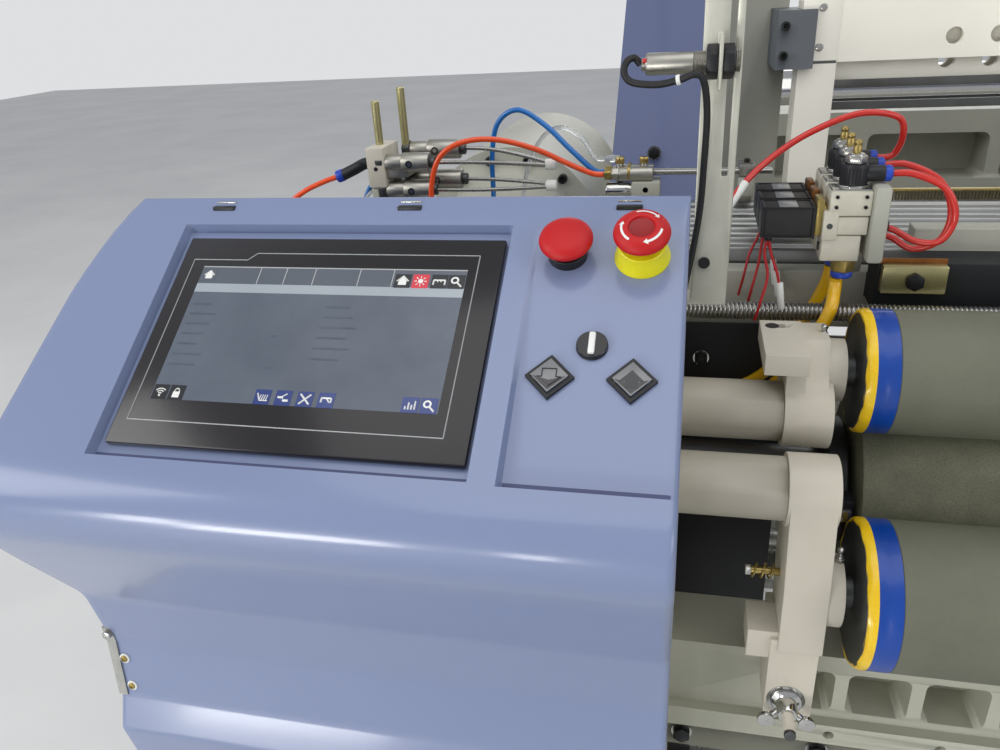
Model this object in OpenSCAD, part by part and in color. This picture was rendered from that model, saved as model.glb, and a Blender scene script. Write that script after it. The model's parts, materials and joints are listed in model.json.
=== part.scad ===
// Air-jet power loom with its left front console, take-up rollers, sley,
// heald frames, warp beam and drive. Millimetres, +Z up, front at -Y.
// The origin is on the floor in the middle of the anchor bolt pattern.

/* [Loom] */
// Width of cloth between the two rows of levers
reed_w = 1900; // [1500:10:2300]
// Height of the side frames over the rocking shaft
frame_h = 980; // [970:1:995]
// Thickness of one cast side frame
frame_t = 150; // [120:5:180]
// Distance of the side frame from the edge of the cloth
frame_gap = 200; // [200:1:230]
// Front and back rows of anchor bolts, distance apart
anchor_depth = 1060; // [1000:10:1100]
// Radius of an anchor bolt hole
anchor_r = 11; // [8:0.5:14]

/* [Take-up] */
// Radius of the surface roller
surface_r = 85; // [80:0.5:88]
// Radius of the upper press roller
upper_r = 55; // [52:0.5:56]
// Radius of the lower press roller
lower_r = 63; // [60:0.5:64]
// Direction of the upper press roller from the surface roller, degrees from the back
upper_nip = 105; // [103:0.5:107]
// Direction of the lower press roller from the surface roller, degrees from the back
lower_nip = 188; // [186:0.5:190]
// Radius of the tubes on which the press levers turn
tube_r = 27; // [24:0.5:29]
// Thickness of a press lever
lever_t = 40; // [34:1:44]
// Radius of the threaded guide roller
guide_r = 9; // [7:0.5:11]

/* [Console] */
// Slope of the console face in degrees
slope = 33.5; // [30:0.5:36]
// Wall of the moulded cover
cover_t = 4; // [3:0.5:5]
// Depth of the pocket round the touch panel
pocket_d = 8; // [6:0.5:9]
// Width of the touch panel
panel_w = 274; // [240:2:276]
// Height of the touch panel
panel_h = 193; // [170:1:200]
// Radius of the two mushroom heads
mushroom_r = 20; // [17:0.5:22]

/* [Shedding] */
// Distance between neighbouring heald frames
heald_pitch = 14; // [12:0.5:15]
// Thickness of a heald frame
heald_t = 9; // [8:0.25:10]
// Height of a heald frame
heald_h = 546; // [520:2:560]
// Width of a side bar of a heald frame
heald_bar = 40; // [34:1:46]

/* [Warp beam] */
// Radius of the warp beam flanges
flange_r = 400; // [350:5:420]
// Radius of the warp beam barrel
barrel_r = 75; // [60:1:90]
// Teeth on the beam gear
gear_teeth = 60; // [56:1:62]
// Teeth on the let-off pinion
pinion_teeth = 15; // [14:1:16]
// Module of the two gears
gear_module = 5; // [4.5:0.1:5]

/* [Hidden] */
$fn = 48;

// Clearances: a shaft in its bore, and two faces that pass each other
run = 0.05;
pass = 0.3;
cut = 1;
// Space that a tube end leaves in its fitting
slack = 0.7;

// Places across the loom
half = reed_w / 2;
frame_in = half + frame_gap;
frame_out = frame_in + frame_t;
end_x = frame_out + 370;
roller_end = half + 53;
surface_end = half + 34;
lever_in = half + 68;
lever_out = lever_in + lever_t;
sley_end = half + 290;

// Places of the shafts, as [y, z]
surface_at = [-340, frame_h - 126];
upper_at = surface_at + (surface_r + upper_r + pass) * [cos(upper_nip), sin(upper_nip)];
lower_at = surface_at + (surface_r + lower_r + pass) * [cos(lower_nip), sin(lower_nip)];
upper_pivot = [-401, frame_h - 22];
lower_pivot = [-473, frame_h - 57];
guide_at = [-314, frame_h + 40];
rock_at = [-150, 600];
main_at = [60, 560];
cloth_at = [-330, 380];
beam_at = [560, 480];
pinion_angle = 125;
gear_centres = gear_module * (gear_teeth + pinion_teeth) / 2;
pinion_at = beam_at + gear_centres * [cos(pinion_angle), sin(pinion_angle)];
easing_at = [700, frame_h + 30];
back_at = [800, frame_h + 95];
motor_at = [-300, 330];
surface_axle = 30;
press_axle = 14;
pivot_stud = 15;
guide_axle = 6;
rock_r = 40;
main_r = 25;
cloth_axle = 20;
beam_axle = 45;
pinion_axle = 18;
easing_pin = 20;
back_axle = 15;

// Castings and fixed beams
rest_top = frame_h;
front_top = rest_top + 65;
foot_h = 40;
web_t = 20;
temple_y = [-252, -228];
temple_low = rest_top + 60;
temple_top = rest_top + 104;
temple_mid = half - 16;
temple_pitch = (half - 10) / 5;
front_z = [surface_at[1] - 254, surface_at[1] - 114];
front_pitch = 66;
rear_y = [331, 430];
rear_top = rest_top + 129;
rear_pitch = (frame_out - 320) / 5;

// Sley
sley_top = rest_top + 109;
sley_base = rest_top + 25;
sley_bore = [-178, sley_base + 25];
reed_y = [-158, -150];
reed_foot = sley_top - 47;
reed_top = sley_top + 11;
ridge_n = 5;
dent_n = 110;

// Console, from the middle of the touch panel
console_at = [-(half + 470), -560, front_top + 40];
cover_right = 275;
cover_low = -665;
cover_back = 120;
flange_d = 30;
nose = [
    [cover_back - 0.4, 79.1, 0], [-136.6, -90.4, 45], [-97, -154, 30], [-40, -246, 60], [-28, -310, 60],
    [-35, -374, 30], [-49, -408, 14], [-42, -448, 40], [-30, cover_low, 0]
];
left_edge = [
    [-190, 95], [-199, 78], [-209, 68], [-218, 55], [-224, 39], [-229, 22], [-231, 0],
    [-236, -60], [-244, -110], [-250, -170], [-250, cover_low]
];
pocket_w = panel_w + 8;
pocket_h = panel_h + 21;
recess_x = 162;
recess_s = [-108, 106];
estop_s = [241.7, 80.8];
stop_s = [186.5, 81.5];
selector_s = [211.7, 2.2];
inch_s = [184.6, -24.3];
start_s = [241, -24.6];

// Valves, from the front of the row
valve_n = 3;
valve_pitch = 35;
valve_front = -330;
valve_x = [-(half + 80), -(half + 41)];
valve_z = [temple_low + 34, temple_low + 99];

// Heald frames, from the front one
heald_y = -69;
heald_half = half + 84;
heald_z = rest_top - 210;
heald_drop = 25;

// Drive at the left end
belt_x = [-(end_x - 30), -(end_x - 70)];
main_pulley_r = 130;
motor_pulley_r = 60;

// Small helpers
function unit(v) = v / norm(v);
function normal(a, b) = let (d = unit(b - a)) [-d.y, d.x];
function corner_arc(a, c, b, r, n = 5) =
    let (
        u = unit(a - c), v = unit(b - c), half_turn = acos(u * v) / 2,
        m = c + unit(u + v) * r / sin(half_turn),
        p = c + u * r / tan(half_turn), q = c + v * r / tan(half_turn),
        a0 = atan2(p.y - m.y, p.x - m.x),
        turn = ((atan2(q.y - m.y, q.x - m.x) - a0 + 540) % 360) - 180
    ) [for (i = [0:n]) m + r * [cos(a0 + turn * i / n), sin(a0 + turn * i / n)]];
function flat_of(p) = [p.x, p.y];
function rounded_path(pts) = [
    for (i = [0:len(pts) - 1])
        if (pts[i][2] == 0) flat_of(pts[i])
        else each corner_arc(flat_of(pts[i - 1]), flat_of(pts[i]), flat_of(pts[i + 1]), pts[i][2])
];
function shifted(pts, d) = [
    for (i = [0:len(pts) - 1])
        let (
            a = i > 0 ? normal(pts[i - 1], pts[i]) : normal(pts[i], pts[i + 1]),
            b = i < len(pts) - 1 ? normal(pts[i], pts[i + 1]) : a,
            m = unit(a + b)
        ) pts[i] + m * d / (m * a)
];

module rod_x(x0, x1, at, r)
    translate([x0, at[0], at[1]]) rotate([0, 90, 0]) cylinder(r = r, h = x1 - x0);
module rod_y(y0, y1, x, z, r)
    translate([x, y1, z]) rotate([90, 0, 0]) cylinder(r = r, h = y1 - y0);
module rod_z(z0, z1, x, y, r)
    translate([x, y, z0]) cylinder(r = r, h = z1 - z0);
module slab_x(x0, x1)
    translate([x0, 0, 0]) rotate([90, 0, 90]) linear_extrude(x1 - x0) children();
module slab_y(y0, y1)
    translate([0, y1, 0]) rotate([90, 0, 0]) linear_extrude(y1 - y0) children();
module block(a, b) translate(a) cube(b - a);
module both_sides() {
    children();
    mirror([1, 0, 0]) children();
}
module soft_rect(w, h, r) {
    square([w - 2 * r, h], center = true);
    square([w, h - 2 * r], center = true);
    for (i = [-1, 1], j = [-1, 1])
        translate([i * (w / 2 - r), j * (h / 2 - r)]) circle(r);
}
module on_console() translate(console_at) rotate([slope, 0, 0]) children();

// Tube along hand-placed points, with a ring at each point
function smooth(pts, n = 3) = [
    for (i = [0:len(pts) - 2], k = [0:n - 1])
        let (
            a = pts[max(i - 1, 0)], b = pts[i], c = pts[i + 1], d = pts[min(i + 2, len(pts) - 1)],
            t = k / n
        ) 0.5 * (2 * b + (c - a) * t + (2 * a - 5 * b + 4 * c - d) * t * t
            + (3 * b - a - 3 * c + d) * t * t * t),
    pts[len(pts) - 1]
];
// Routes are drawn from the cloth's left edge, at the height of the side frames
function on_deck(pts) = [for (p = pts) p + [-half, 0, rest_top]];
function heading(p, i) = unit(p[min(i + 1, len(p) - 1)] - p[max(i - 1, 0)]);
function side_of(p, i) =
    i == 0 ? unit(cross(heading(p, 0), abs(heading(p, 0).z) < 0.9 ? [0, 0, 1] : [0, 1, 0]))
    : let (s = side_of(p, i - 1), h = heading(p, i)) unit(s - h * (s * h));
module hose(pts, r, sides = 8) {
    p = smooth(pts);
    n = len(p);
    rings = [
        for (i = [0:n - 1])
            let (h = heading(p, i), s = side_of(p, i), u = cross(h, s))
            for (k = [0:sides - 1]) p[i] + r * (cos(360 * k / sides) * s + sin(360 * k / sides) * u)
    ];
    faces = concat(
        [[for (k = [0:sides - 1]) k]],
        [[for (k = [0:sides - 1]) (n - 1) * sides + sides - 1 - k]],
        [for (i = [0:n - 2], k = [0:sides - 1])
            [i * sides + k, (i + 1) * sides + k, (i + 1) * sides + (k + 1) % sides,
                i * sides + (k + 1) % sides]]
    );
    polyhedron(rings, faces, convexity = 6);
}

// Side frames
frame_outline = [
    [-560, 0], [-300, 0], [-240, 110], [380, 110], [440, 0], [720, 0], [720, 600], [780, 680],
    [780, rest_top + 80], [640, rest_top + 80], [560, rest_top], [-260, rest_top],
    [-290, front_top], [-560, front_top]
];
frame_pockets = [
    [-525, 150, -425, surface_at[1] - 94], [-270, 160, -40, 500], [30, 160, 380, 440],
    [-60, 690, 470, rest_top - 50], [530, 640, 680, rest_top - 40], [500, 90, 670, 340]
];
module frame_bore(at, r, x0 = frame_in - cut, x1 = frame_out + cut) rod_x(x0, x1, at, r);
module right_side_frame() {
    difference() {
        union() {
            slab_x(frame_in, frame_out) polygon(frame_outline);
            for (y = [-anchor_depth / 2, anchor_depth / 2])
                block([frame_out, y - 60, 0], [frame_out + 70, y + 60, foot_h]);
        }
        for (p = frame_pockets)
            slab_x(frame_in + web_t, frame_out + cut)
                translate([p[0] + p[2], p[1] + p[3]] / 2)
                    soft_rect(p[2] - p[0], p[3] - p[1], 25);
        for (y = [-anchor_depth / 2, anchor_depth / 2])
            rod_z(-cut, foot_h + cut, frame_out + 35, y, anchor_r);
        frame_bore(surface_at, surface_axle + run);
        frame_bore(rock_at, rock_r + run);
        frame_bore(main_at, main_r + run);
        frame_bore(cloth_at, cloth_axle + run);
        frame_bore(beam_at, beam_axle + run);
        frame_bore(guide_at, guide_axle + run);
        frame_bore(easing_at, easing_pin + run);
    }
    for (at = [upper_pivot, lower_pivot]) {
        rod_x(lever_out + pass, frame_in, at, tube_r);
        rod_x(lever_in, lever_out + pass, at, pivot_stud);
    }
}
module left_frame() color("#c9c5b4") mirror([1, 0, 0]) right_side_frame();
module right_frame() color("#c9c5b4") difference() {
    right_side_frame();
    frame_bore(pinion_at, pinion_axle + run);
}

// Cross beams
module front_beam() color("#c4c2b2") difference() {
    union() {
        block([-frame_in, -469, front_z[0]], [frame_in, -400, front_z[1]]);
        block([-frame_in, -480, front_z[0] + 40], [frame_in, -469, front_z[0] + 64]);
    }
    for (k = [0:1:floor((2 * frame_in - 200) / front_pitch)])
        translate([-frame_in + 130 + front_pitch * k, -474, front_z[0] + 97])
            rotate([90, 0, 0]) translate([0, 0, -50]) linear_extrude(56) soft_rect(54, 48, 8);
    for (k = [0:2], s = [-1, 1])
        rod_y(-481, -468, s * (frame_in - 156 - k * 98), front_z[0] + 52, 5);
}
module rear_beam() color("#c9c9bd") difference() {
    block([-frame_out + 40, rear_y[0], rest_top], [frame_out - 40, rear_y[1], rear_top]);
    for (k = [-5:5])
        translate([k * rear_pitch, rear_y[0], (rest_top + rear_top) / 2 - 4.5])
            rotate([90, 0, 0]) translate([0, 0, -70]) linear_extrude(71)
                soft_rect(rear_pitch - 20, rear_top - rest_top - 59, 12);
}
module temple_beam() {
    color("#b9bbae") {
        block([-sley_end, temple_y[0], rest_top], [sley_end, temple_y[1], temple_low]);
        block([-temple_mid, temple_y[0], temple_low], [temple_mid, temple_y[1], temple_top]);
    }
    color("#3a3c3c")
        block([-half - 21, -290, temple_low - 25], [half + 21, temple_y[0], temple_low + 22]);
}
module temple_blocks() color("#a98f4a")
    for (k = [-5:5])
        difference() {
            translate([k * temple_pitch, 0, temple_low]) block([-28, -302, -5], [28, -290, 22]);
            rod_y(-303, -289, k * temple_pitch, temple_low + 8, 4);
        }

// Uprights that guide the heald frames
upright_top = rest_top + 620;
guide_z = [heald_z + 60, heald_z + 445];
guide_h = 60;
module right_post() {
    difference() {
        slab_y(-39, 60) polygon([
            [half + 304, rest_top], [half + 179, rest_top], [half + 179, upright_top],
            [half + 249, upright_top]
        ]);
        slab_y(-36, 61) polygon([
            [half + 301, rest_top - cut], [half + 182, rest_top - cut],
            [half + 182, upright_top - 3], [half + 247, upright_top - 3]
        ]);
    }
    block([heald_half + 6, 20, rest_top + 30], [half + 179, 24, upright_top - 60]);
    for (z = guide_z)
        difference() {
            block([heald_half - 14, heald_y - 12, z], [heald_half + 26, 20, z + guide_h]);
            for (i = [0:3])
                block([heald_half - 15, heald_y + i * heald_pitch - pass, z - cut],
                    [heald_half + pass, heald_y + i * heald_pitch + heald_t + pass,
                        z + guide_h + cut]);
        }
    block([heald_half + 6, 0, guide_z[0]], [heald_half + 26, 24, rest_top + 30]);
}
module left_upright() color("#5064a8") mirror([1, 0, 0]) right_post();
module right_upright() color("#5064a8") right_post();
module top_beam() color("#5064a8") difference() {
    block([-half - 179, -39, upright_top - 60], [half + 179, 60, upright_top]);
    block([-half - 180, -36, upright_top - 57], [half + 180, 57, upright_top - 3]);
}

// Console cover: profile along the loom, cut to its outline from the front
cover_path = rounded_path(nose);
function region(pts) = concat(pts, [[cover_back, cover_low]]);
function cavity(pts, top) = concat(
    [for (i = [0:len(pts) - 1]) i == 0 ? [cover_back - cover_t, pts[0].y - 0.66 * cover_t] : pts[i]],
    [[pts[len(pts) - 1].x, cover_low - cut], [cover_back + cut, cover_low - cut],
        [cover_back + cut, top], [cover_back - cover_t, top]]
);
module cover_body() slab_x(-300, 300) polygon(region(cover_path));
module cover_hollow() slab_x(-300, 300) polygon(cavity(shifted(cover_path, cover_t), 30));
module cover_core() slab_x(-290, 310)
    polygon(cavity(shifted([for (p = nose) flat_of(p)], flange_d), 26));
module cover_mask(inset, right) slab_y(-400, 300) polygon(concat(
    [for (p = left_edge) [p.x + inset, p.y + (p.y < -600 ? -10 : 0)]],
    [[right, cover_low - 10], [right, 95]]
));
module cover_shell() {
    difference() {
        intersection() {
            cover_body();
            cover_mask(0, cover_right);
        }
        difference() {
            intersection() {
                cover_hollow();
                cover_mask(cover_t, cover_right - cover_t);
            }
            children();
        }
        intersection() {
            cover_core();
            union() {
                block([-280, -200, cover_low - 5], [305, 200, -100]);
                block([250, -200, -110], [305, 200, 200]);
            }
        }
    }
}
module console_cover() color("#7f8fcc") {
    translate(console_at) {
        difference() {
            cover_shell() rotate([slope, 0, 0]) {
                translate([0, 0, -pocket_d - cover_t])
                    linear_extrude(pocket_d + 5) soft_rect(pocket_w + 12, pocket_h + 12, 14);
                block([recess_x - 6, recess_s[0] - 6, -pocket_d - cover_t],
                    [cover_right, recess_s[1] + 6, 2]);
            }
            rotate([slope, 0, 0]) {
                translate([-3, 0, -pocket_d]) linear_extrude(30) soft_rect(pocket_w, pocket_h, 10);
                translate([0, 0, -40]) linear_extrude(60)
                    soft_rect(panel_w - 24, panel_h - 12, 4);
                slab_x(recess_x, cover_right + cut) polygon([
                    [recess_s[0], -pocket_d], [recess_s[0], 20], [recess_s[1], 20],
                    [recess_s[1], 0]
                ]);
                for (p = [[estop_s, 22], [stop_s, 18], [selector_s, 12]]) {
                    translate([p[0].x, p[0].y, seat_of(p[0].y)]) cylinder(r = p[1], h = 20);
                    translate([p[0].x, p[0].y, -40]) cylinder(r = 8, h = 60);
                }
                for (p = [inch_s, start_s]) translate([p.x, p.y, key_seat(p.y)]) {
                    rotate(45) linear_extrude(20) square(25, center = true);
                    translate([0, 0, -30]) linear_extrude(40) rotate(45) square(16, center = true);
                }
            }
        }
        for (x = [130, 230]) block([x, -27, -330], [x + 30, 0, -290]);
    }
}
function seat_of(s) = -pocket_d * (recess_s[1] - s) / (recess_s[1] - recess_s[0]) - 1;
// The keys sit deeper, so that their frames lie almost flush
function key_seat(s) = seat_of(s) - 2.5;
module right_cover() color("#7f8fcc") mirror([1, 0, 0]) translate(console_at) {
    cover_shell();
    for (x = [130, 230]) block([x, -27, -330], [x + 30, 0, -290]);
}

// Left end: door that closes the drive, and its latch
door_y = [-550, 318];
door_z = [430, rest_top + 2];
hinge_at = [-(end_x - 22), 336];
knuckle_z = [520, 880];
module side_door() color("#7f8fcc") {
    difference() {
        block([-end_x, door_y[0], door_z[0]], [-end_x + 18, door_y[1], door_z[1]]);
        block([-end_x + 3, door_y[0] + 3, door_z[0] + 3],
            [-end_x + 19, door_y[1] - 3, door_z[1] - 3]);
        rod_x(-end_x - cut, -end_x + 19, latch_at, 5 + run);
    }
    for (z = knuckle_z) difference() {
        union() {
            rod_z(z, z + 40, hinge_at.x, hinge_at.y, 12);
            block([-end_x + 3, door_y[1] - 3, z], [hinge_at.x, hinge_at.y, z + 40]);
        }
        rod_z(z - cut, z + 41, hinge_at.x, hinge_at.y, 6 + run);
    }
}
latch_at = [-535, 712];
module door_latch() color("#3b3d42") {
    rod_x(-end_x - 14, -end_x + 12, latch_at, 5);
    slab_x(-end_x - 14, -end_x - pass) translate(latch_at) {
        circle(12);
        translate([-9, -52]) square([18, 52]);
        translate([0, -52]) circle(9);
    }
    slab_x(-end_x + 6, -end_x + 12) translate(latch_at + [-8, -8]) square([16, 24]);
}

// Touch panel and switches on the console
module touch_panel() color("#1d1f22") on_console() {
    difference() {
        translate([0, 0, -pocket_d]) linear_extrude(6) soft_rect(panel_w, panel_h, 5);
        translate([2, 7, -pocket_d + 5]) linear_extrude(2) square([222, 128], center = true);
    }
    translate([0, 0, -30]) linear_extrude(30 - pocket_d)
        soft_rect(panel_w - 24.6, panel_h - 12.6, 4);
}
module switch_collars() color("#17181a") on_console() {
    translate([stop_s.x, stop_s.y, seat_of(stop_s.y)]) difference() {
        cylinder(r = 15, h = stop_top - head_t - stop_travel - pass * 2);
        translate([0, 0, -cut]) cylinder(r = 10 + run, h = 22);
    }
    translate([selector_s.x, selector_s.y, seat_of(selector_s.y)]) difference() {
        cylinder(r = 11.5, h = ring_t);
        translate([0, 0, -cut]) cylinder(r = 7 + run, h = 22);
    }
    for (p = [inch_s, start_s]) translate([p.x, p.y, key_seat(p.y)]) difference() {
        linear_extrude(4) rotate(45) square(24.6, center = true);
        translate([0, 0, -cut]) linear_extrude(8) rotate(45) square(19.6, center = true);
    }
}
// Height of a mushroom head, of its top over the seat, and how far each one travels
head_t = 12;
stop_top = 26;
stop_travel = 5;
estop_top = 34.5;
estop_travel = 6;
ring_t = 1.2;
module mushroom(h) {
    rotate_extrude() polygon([
        [0, h - head_t], [9, h - head_t], [mushroom_r - 2, h - head_t + 1.5],
        [mushroom_r, h - 8.5], [mushroom_r, h - 7], [mushroom_r - 4, h - 2.5],
        [mushroom_r * 0.4, h], [0, h]
    ]);
}
module stop_button() color("#d3262b") on_console()
    translate([stop_s.x, stop_s.y, seat_of(stop_s.y)]) {
        mushroom(stop_top);
        translate([0, 0, stop_travel + 1]) cylinder(r = 10, h = stop_top - head_t - stop_travel);
    }
estop_low = estop_top - head_t;
module estop_collar() color("#e8d21c") on_console()
    translate([estop_s.x, estop_s.y, seat_of(estop_s.y)]) difference() {
        rotate_extrude() polygon([
            [0, 0], [20.5, 0], [20.5, 2.5], [17, estop_low - estop_travel - pass * 2],
            [0, estop_low - estop_travel - pass * 2]
        ]);
        translate([0, 0, -cut]) cylinder(r = 11 + run, h = 40);
    }
module estop_plunger() color("#b81f24") on_console()
    translate([estop_s.x, estop_s.y, seat_of(estop_s.y) + estop_travel + 1]) {
        cylinder(r = 11, h = estop_low - pass - estop_travel - 1);
        cylinder(r = 6, h = estop_top - 8 - estop_travel - 1);
    }
module estop_head() color("#d3262b") on_console()
    translate([estop_s.x, estop_s.y, seat_of(estop_s.y)]) difference() {
        mushroom(estop_top);
        translate([0, 0, estop_low - cut]) cylinder(r = 6 + run, h = head_t - 8 + cut + pass);
        translate([0, 0, estop_top - 1.5]) cylinder(r = 9, h = 5);
    }
module selector_knob() color("#1b1c1e") on_console()
    translate([selector_s.x, selector_s.y, seat_of(selector_s.y)]) {
        translate([0, 0, -12]) cylinder(r = 7, h = 12 + ring_t + pass * 2);
        translate([0, 0, ring_t + pass]) cylinder(r = 11, h = 3);
        translate([0, 0, ring_t + 3]) linear_extrude(3) soft_rect(5, 20, 2.4);
    }
module key_cap(p) on_console() translate([p.x, p.y, key_seat(p.y) + 3 + pass])
    linear_extrude(2.6) rotate(45) square(19, center = true);
module inch_button() color("#6c6f6e") key_cap(inch_s);
module start_button() color("#5f6263") key_cap(start_s);

// Sley: ribbed aluminium section on swords that rock with their shaft
sword_x = half - 50;
ridge_step = [-11, -7.6];
sley_outline = concat(
    [[-205, sley_base], [-140, sley_base], [-138, sley_top - 9], [reed_y[1], sley_top - 9],
        [reed_y[1], reed_foot], [reed_y[0], reed_foot], [reed_y[0], sley_top], [-168, sley_top]],
    [for (i = [0:ridge_n - 1], k = [0:2])
        [-168, sley_top] + i * ridge_step + [[-1, -3], [-9, -4], [-10.5, -7.6]][k]],
    [[-224, sley_base + 35]]
);
module sley_beam() color("#b3b6b8") difference() {
    slab_x(-sley_end, sley_end) polygon(sley_outline);
    rod_x(-sley_end - cut, sley_end + cut, sley_bore, 14);
}
module rocking_shaft() color("#8d9092") {
    rod_x(-frame_out + 10, frame_out - 10, rock_at, rock_r);
    for (k = [-1, -1/3, 1/3, 1]) slab_x(k * sword_x - 20, k * sword_x + 20) difference() {
        union() {
            translate(rock_at) circle(66);
            polygon([rock_at + [-60, 10], rock_at + [60, 10], [-140, sley_base - 40],
                [-140, sley_base], [-205, sley_base], [-205, sley_base - 40]]);
        }
        translate(rock_at + [0, 180]) circle(24);
    }
}
module reed() color("#7d7358") difference() {
    block([-half, reed_y[0] + run, reed_foot], [half, reed_y[1] - run, reed_top]);
    for (i = [0:dent_n - 1])
        translate([-half + 12 + i * (reed_w - 24) / dent_n, reed_y[0] - cut, sley_top + 1.5])
            cube([(reed_w - 24) / dent_n - 6, 12, 6.5]);
}

// Nozzles that ride on the sley
block_end = 285;
block_x = [-(half + block_end), -(half + block_end) + 58];
tube_y = -179;
tube_z = sley_top + 34;
module main_nozzles() color("#c4c6c6") {
    block([block_x[0], -198, sley_top + 10], [block_x[1], -165, sley_top + 29]);
    block([block_x[0] + 6, -168, sley_top], [block_x[1] - 6, -159, sley_top + 10]);
    rod_x(block_x[0] - 2, block_x[0] + 14, [tube_y, tube_z + 17], 4);
    for (k = [0, 1]) {
        rod_x(block_x[0] - 2, block_x[1] - 8, [tube_y - 8 + 14 * k, tube_z + 2], 8);
        rod_x(block_x[1] - 8, -(half + 112), [tube_y - 4 + 7 * k, tube_z + 3], 3);
        rod_z(sley_top + 29, sley_top + 53, block_x[0] + 14 + 26 * k, tube_y, 3.5);
    }
    block([-(half + 146), -188, sley_top + 11], [-(half + 130), -164, sley_top + 45]);
    block([-(half + 146), -168, sley_top], [-(half + 130), -159, sley_top + 11]);
}

// Fixed nozzles at the left, behind the console
post_at = [[-(half + 541), -189], [-(half + 516), -172]];
bracket_y = [-222, -150];
bracket_h = 59;
bracket_top = rest_top + bracket_h;
module tandem_bracket() color("#b9b7a8") difference() {
    union() {
        block([-(half + 570), bracket_y[0], rest_top], [-sley_end - 20, bracket_y[1], rest_top + 16]);
        block([-(half + 500), -210, rest_top + 16], [-(half + 380), -170, bracket_top]);
    }
    for (p = post_at) rod_z(rest_top - cut, rest_top + 17, p.x, p.y, 4.5);
}
module tandem_posts() color("#b89d52") {
    rod_z(rest_top, rest_top + 229, post_at[0].x, post_at[0].y, 4.5);
    rod_z(rest_top, rest_top + 241, post_at[1].x, post_at[1].y, 4.5);
}
jet_z = rest_top + 153;
jet_at = [[-204, jet_z + 11], [-168, jet_z + 19], [-204, jet_z - 19], [-168, jet_z - 15]];
jet_end = [[-186, jet_z + 2], [-182, jet_z + 4], [-186, jet_z - 21], [-182, jet_z - 19]];
module tandem_nozzles() color("#bcbdb9") difference() {
    union() {
        block([-(half + 556), -214, jet_z - 29], [-(half + 503), -160, jet_z + 29]);
        for (i = [0:3]) {
            rod_x(-(half + 540) + 20 * (i % 2), -(half + 472) + 26 * (i % 2), jet_at[i], 11);
            hose([[-(half + 480) + 20 * (i % 2), jet_at[i][0], jet_at[i][1]],
                [-(half + 420), jet_at[i][0], jet_at[i][1]] + [0, 0, -1],
                [-(half + 345), jet_end[i][0], jet_end[i][1]]], 2.2);
        }
        for (k = [0, 1]) rod_x(-(half + 352), -(half + 340), [-184, jet_z + 3 - 23 * k], 6);
    }
    for (p = post_at) rod_z(jet_z - 40, jet_z + 40, p.x, p.y, 4.5 + run);
    for (x = [-(half + 494), -(half + 468)]) rod_y(-230, -140, x, jet_z + 19, 4);
}
hose_x = -block_end - 2 - slack;
orange_route = [[hose_x, -187, 145], [-300, -187, 146], [-326, -192, 158], [-360, -202, 176],
    [-400, -211, 188], [-436, -217, 187], [-462, -220, 172], [-474, -221, 140],
    [-475, -218, 105], [-475, -202, 74], [-475, -200, bracket_h + slack]];
blue_route = [[hose_x, -173, 145], [-300, -173, 147], [-326, -166, 168], [-356, -157, 194],
    [-387, -150, 210], [-412, -146, 196], [-421, -146, 160], [-421, -152, 110],
    [-420, -178, 74], [-420, -180, bracket_h + slack]];
clear_route = [[hose_x, tube_y, 160], [-298, tube_y, 162], [-314, -164, 180], [-338, -150, 190],
    [-362, -140, 178], [-380, -138, 146], [-387, -148, 105], [-388, -178, 74],
    [-388, -180, bracket_h + slack]];
module nozzle_hoses() {
    color("#ff6a2b") hose(on_deck(orange_route), 3);
    color("#1f7fd0") hose(on_deck(blue_route), 3);
    color("#d8dcdc") hose(on_deck(clear_route), 2.5);
}

// Relay valves on their plate
function valve_y(i) = valve_front + i * valve_pitch;
valve_mid = (valve_x[0] + valve_x[1]) / 2;
plate_x = [valve_x[1], valve_x[1] + 14];
module valve_block() color("#c3c4bd") {
    for (i = [0:valve_n - 1]) {
        block([valve_x[0] + 4, valve_y(i), valve_z[0] + 26],
            [valve_x[1], valve_y(i) + 31, valve_z[1]]);
        block([valve_x[0], valve_y(i) + 3, valve_z[0]], [valve_x[1], valve_y(i) + 28, valve_z[0] + 34]);
    }
    block([plate_x[0], valve_front - 5, valve_z[0]],
        [plate_x[1], valve_front + valve_n * valve_pitch + 3, valve_z[1] + 3]);
    block([plate_x[0], temple_y[0], temple_low], [plate_x[1], temple_y[1], valve_z[0]]);
}
module valve_coils()
    for (i = [0:valve_n - 1]) {
        color("#2c2b2a") translate([valve_x[0] - 6, valve_y(i) + 0.5, valve_z[0] + 22])
            mirror([1, 0, 0]) cube([46, 30, 28]);
        color("#a98a3c")
            rod_x(valve_x[0] - 6, valve_x[0] + 4, [valve_y(i) + 15.5, valve_z[0] + 42], 7.5);
    }
module valve_fittings()
    for (i = [0:valve_n - 1]) {
        y = valve_y(i) + 15.5;
        color("#1c1d1e") {
            rod_z(valve_z[1], valve_z[1] + 20, valve_mid, y, 15);
            rod_x(valve_mid, valve_mid + 50, [y, valve_z[1] + 11], 7.5);
        }
        color("#c9c9c4") translate([valve_mid, y, valve_z[1] + 20]) cylinder(r = 12, h = 11, $fn = 6);
        color("#b39a45") rod_z(valve_z[1] + 31, valve_z[1] + 50, valve_mid, y, 3.5);
        color("#c9ac54") translate([valve_mid, y, valve_z[0] - 12]) cylinder(r = 11, h = 12, $fn = 6);
        color("#2350c8") rod_z(valve_z[0] - 18, valve_z[0] - 12, valve_mid, y, 9.5);
    }
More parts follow.
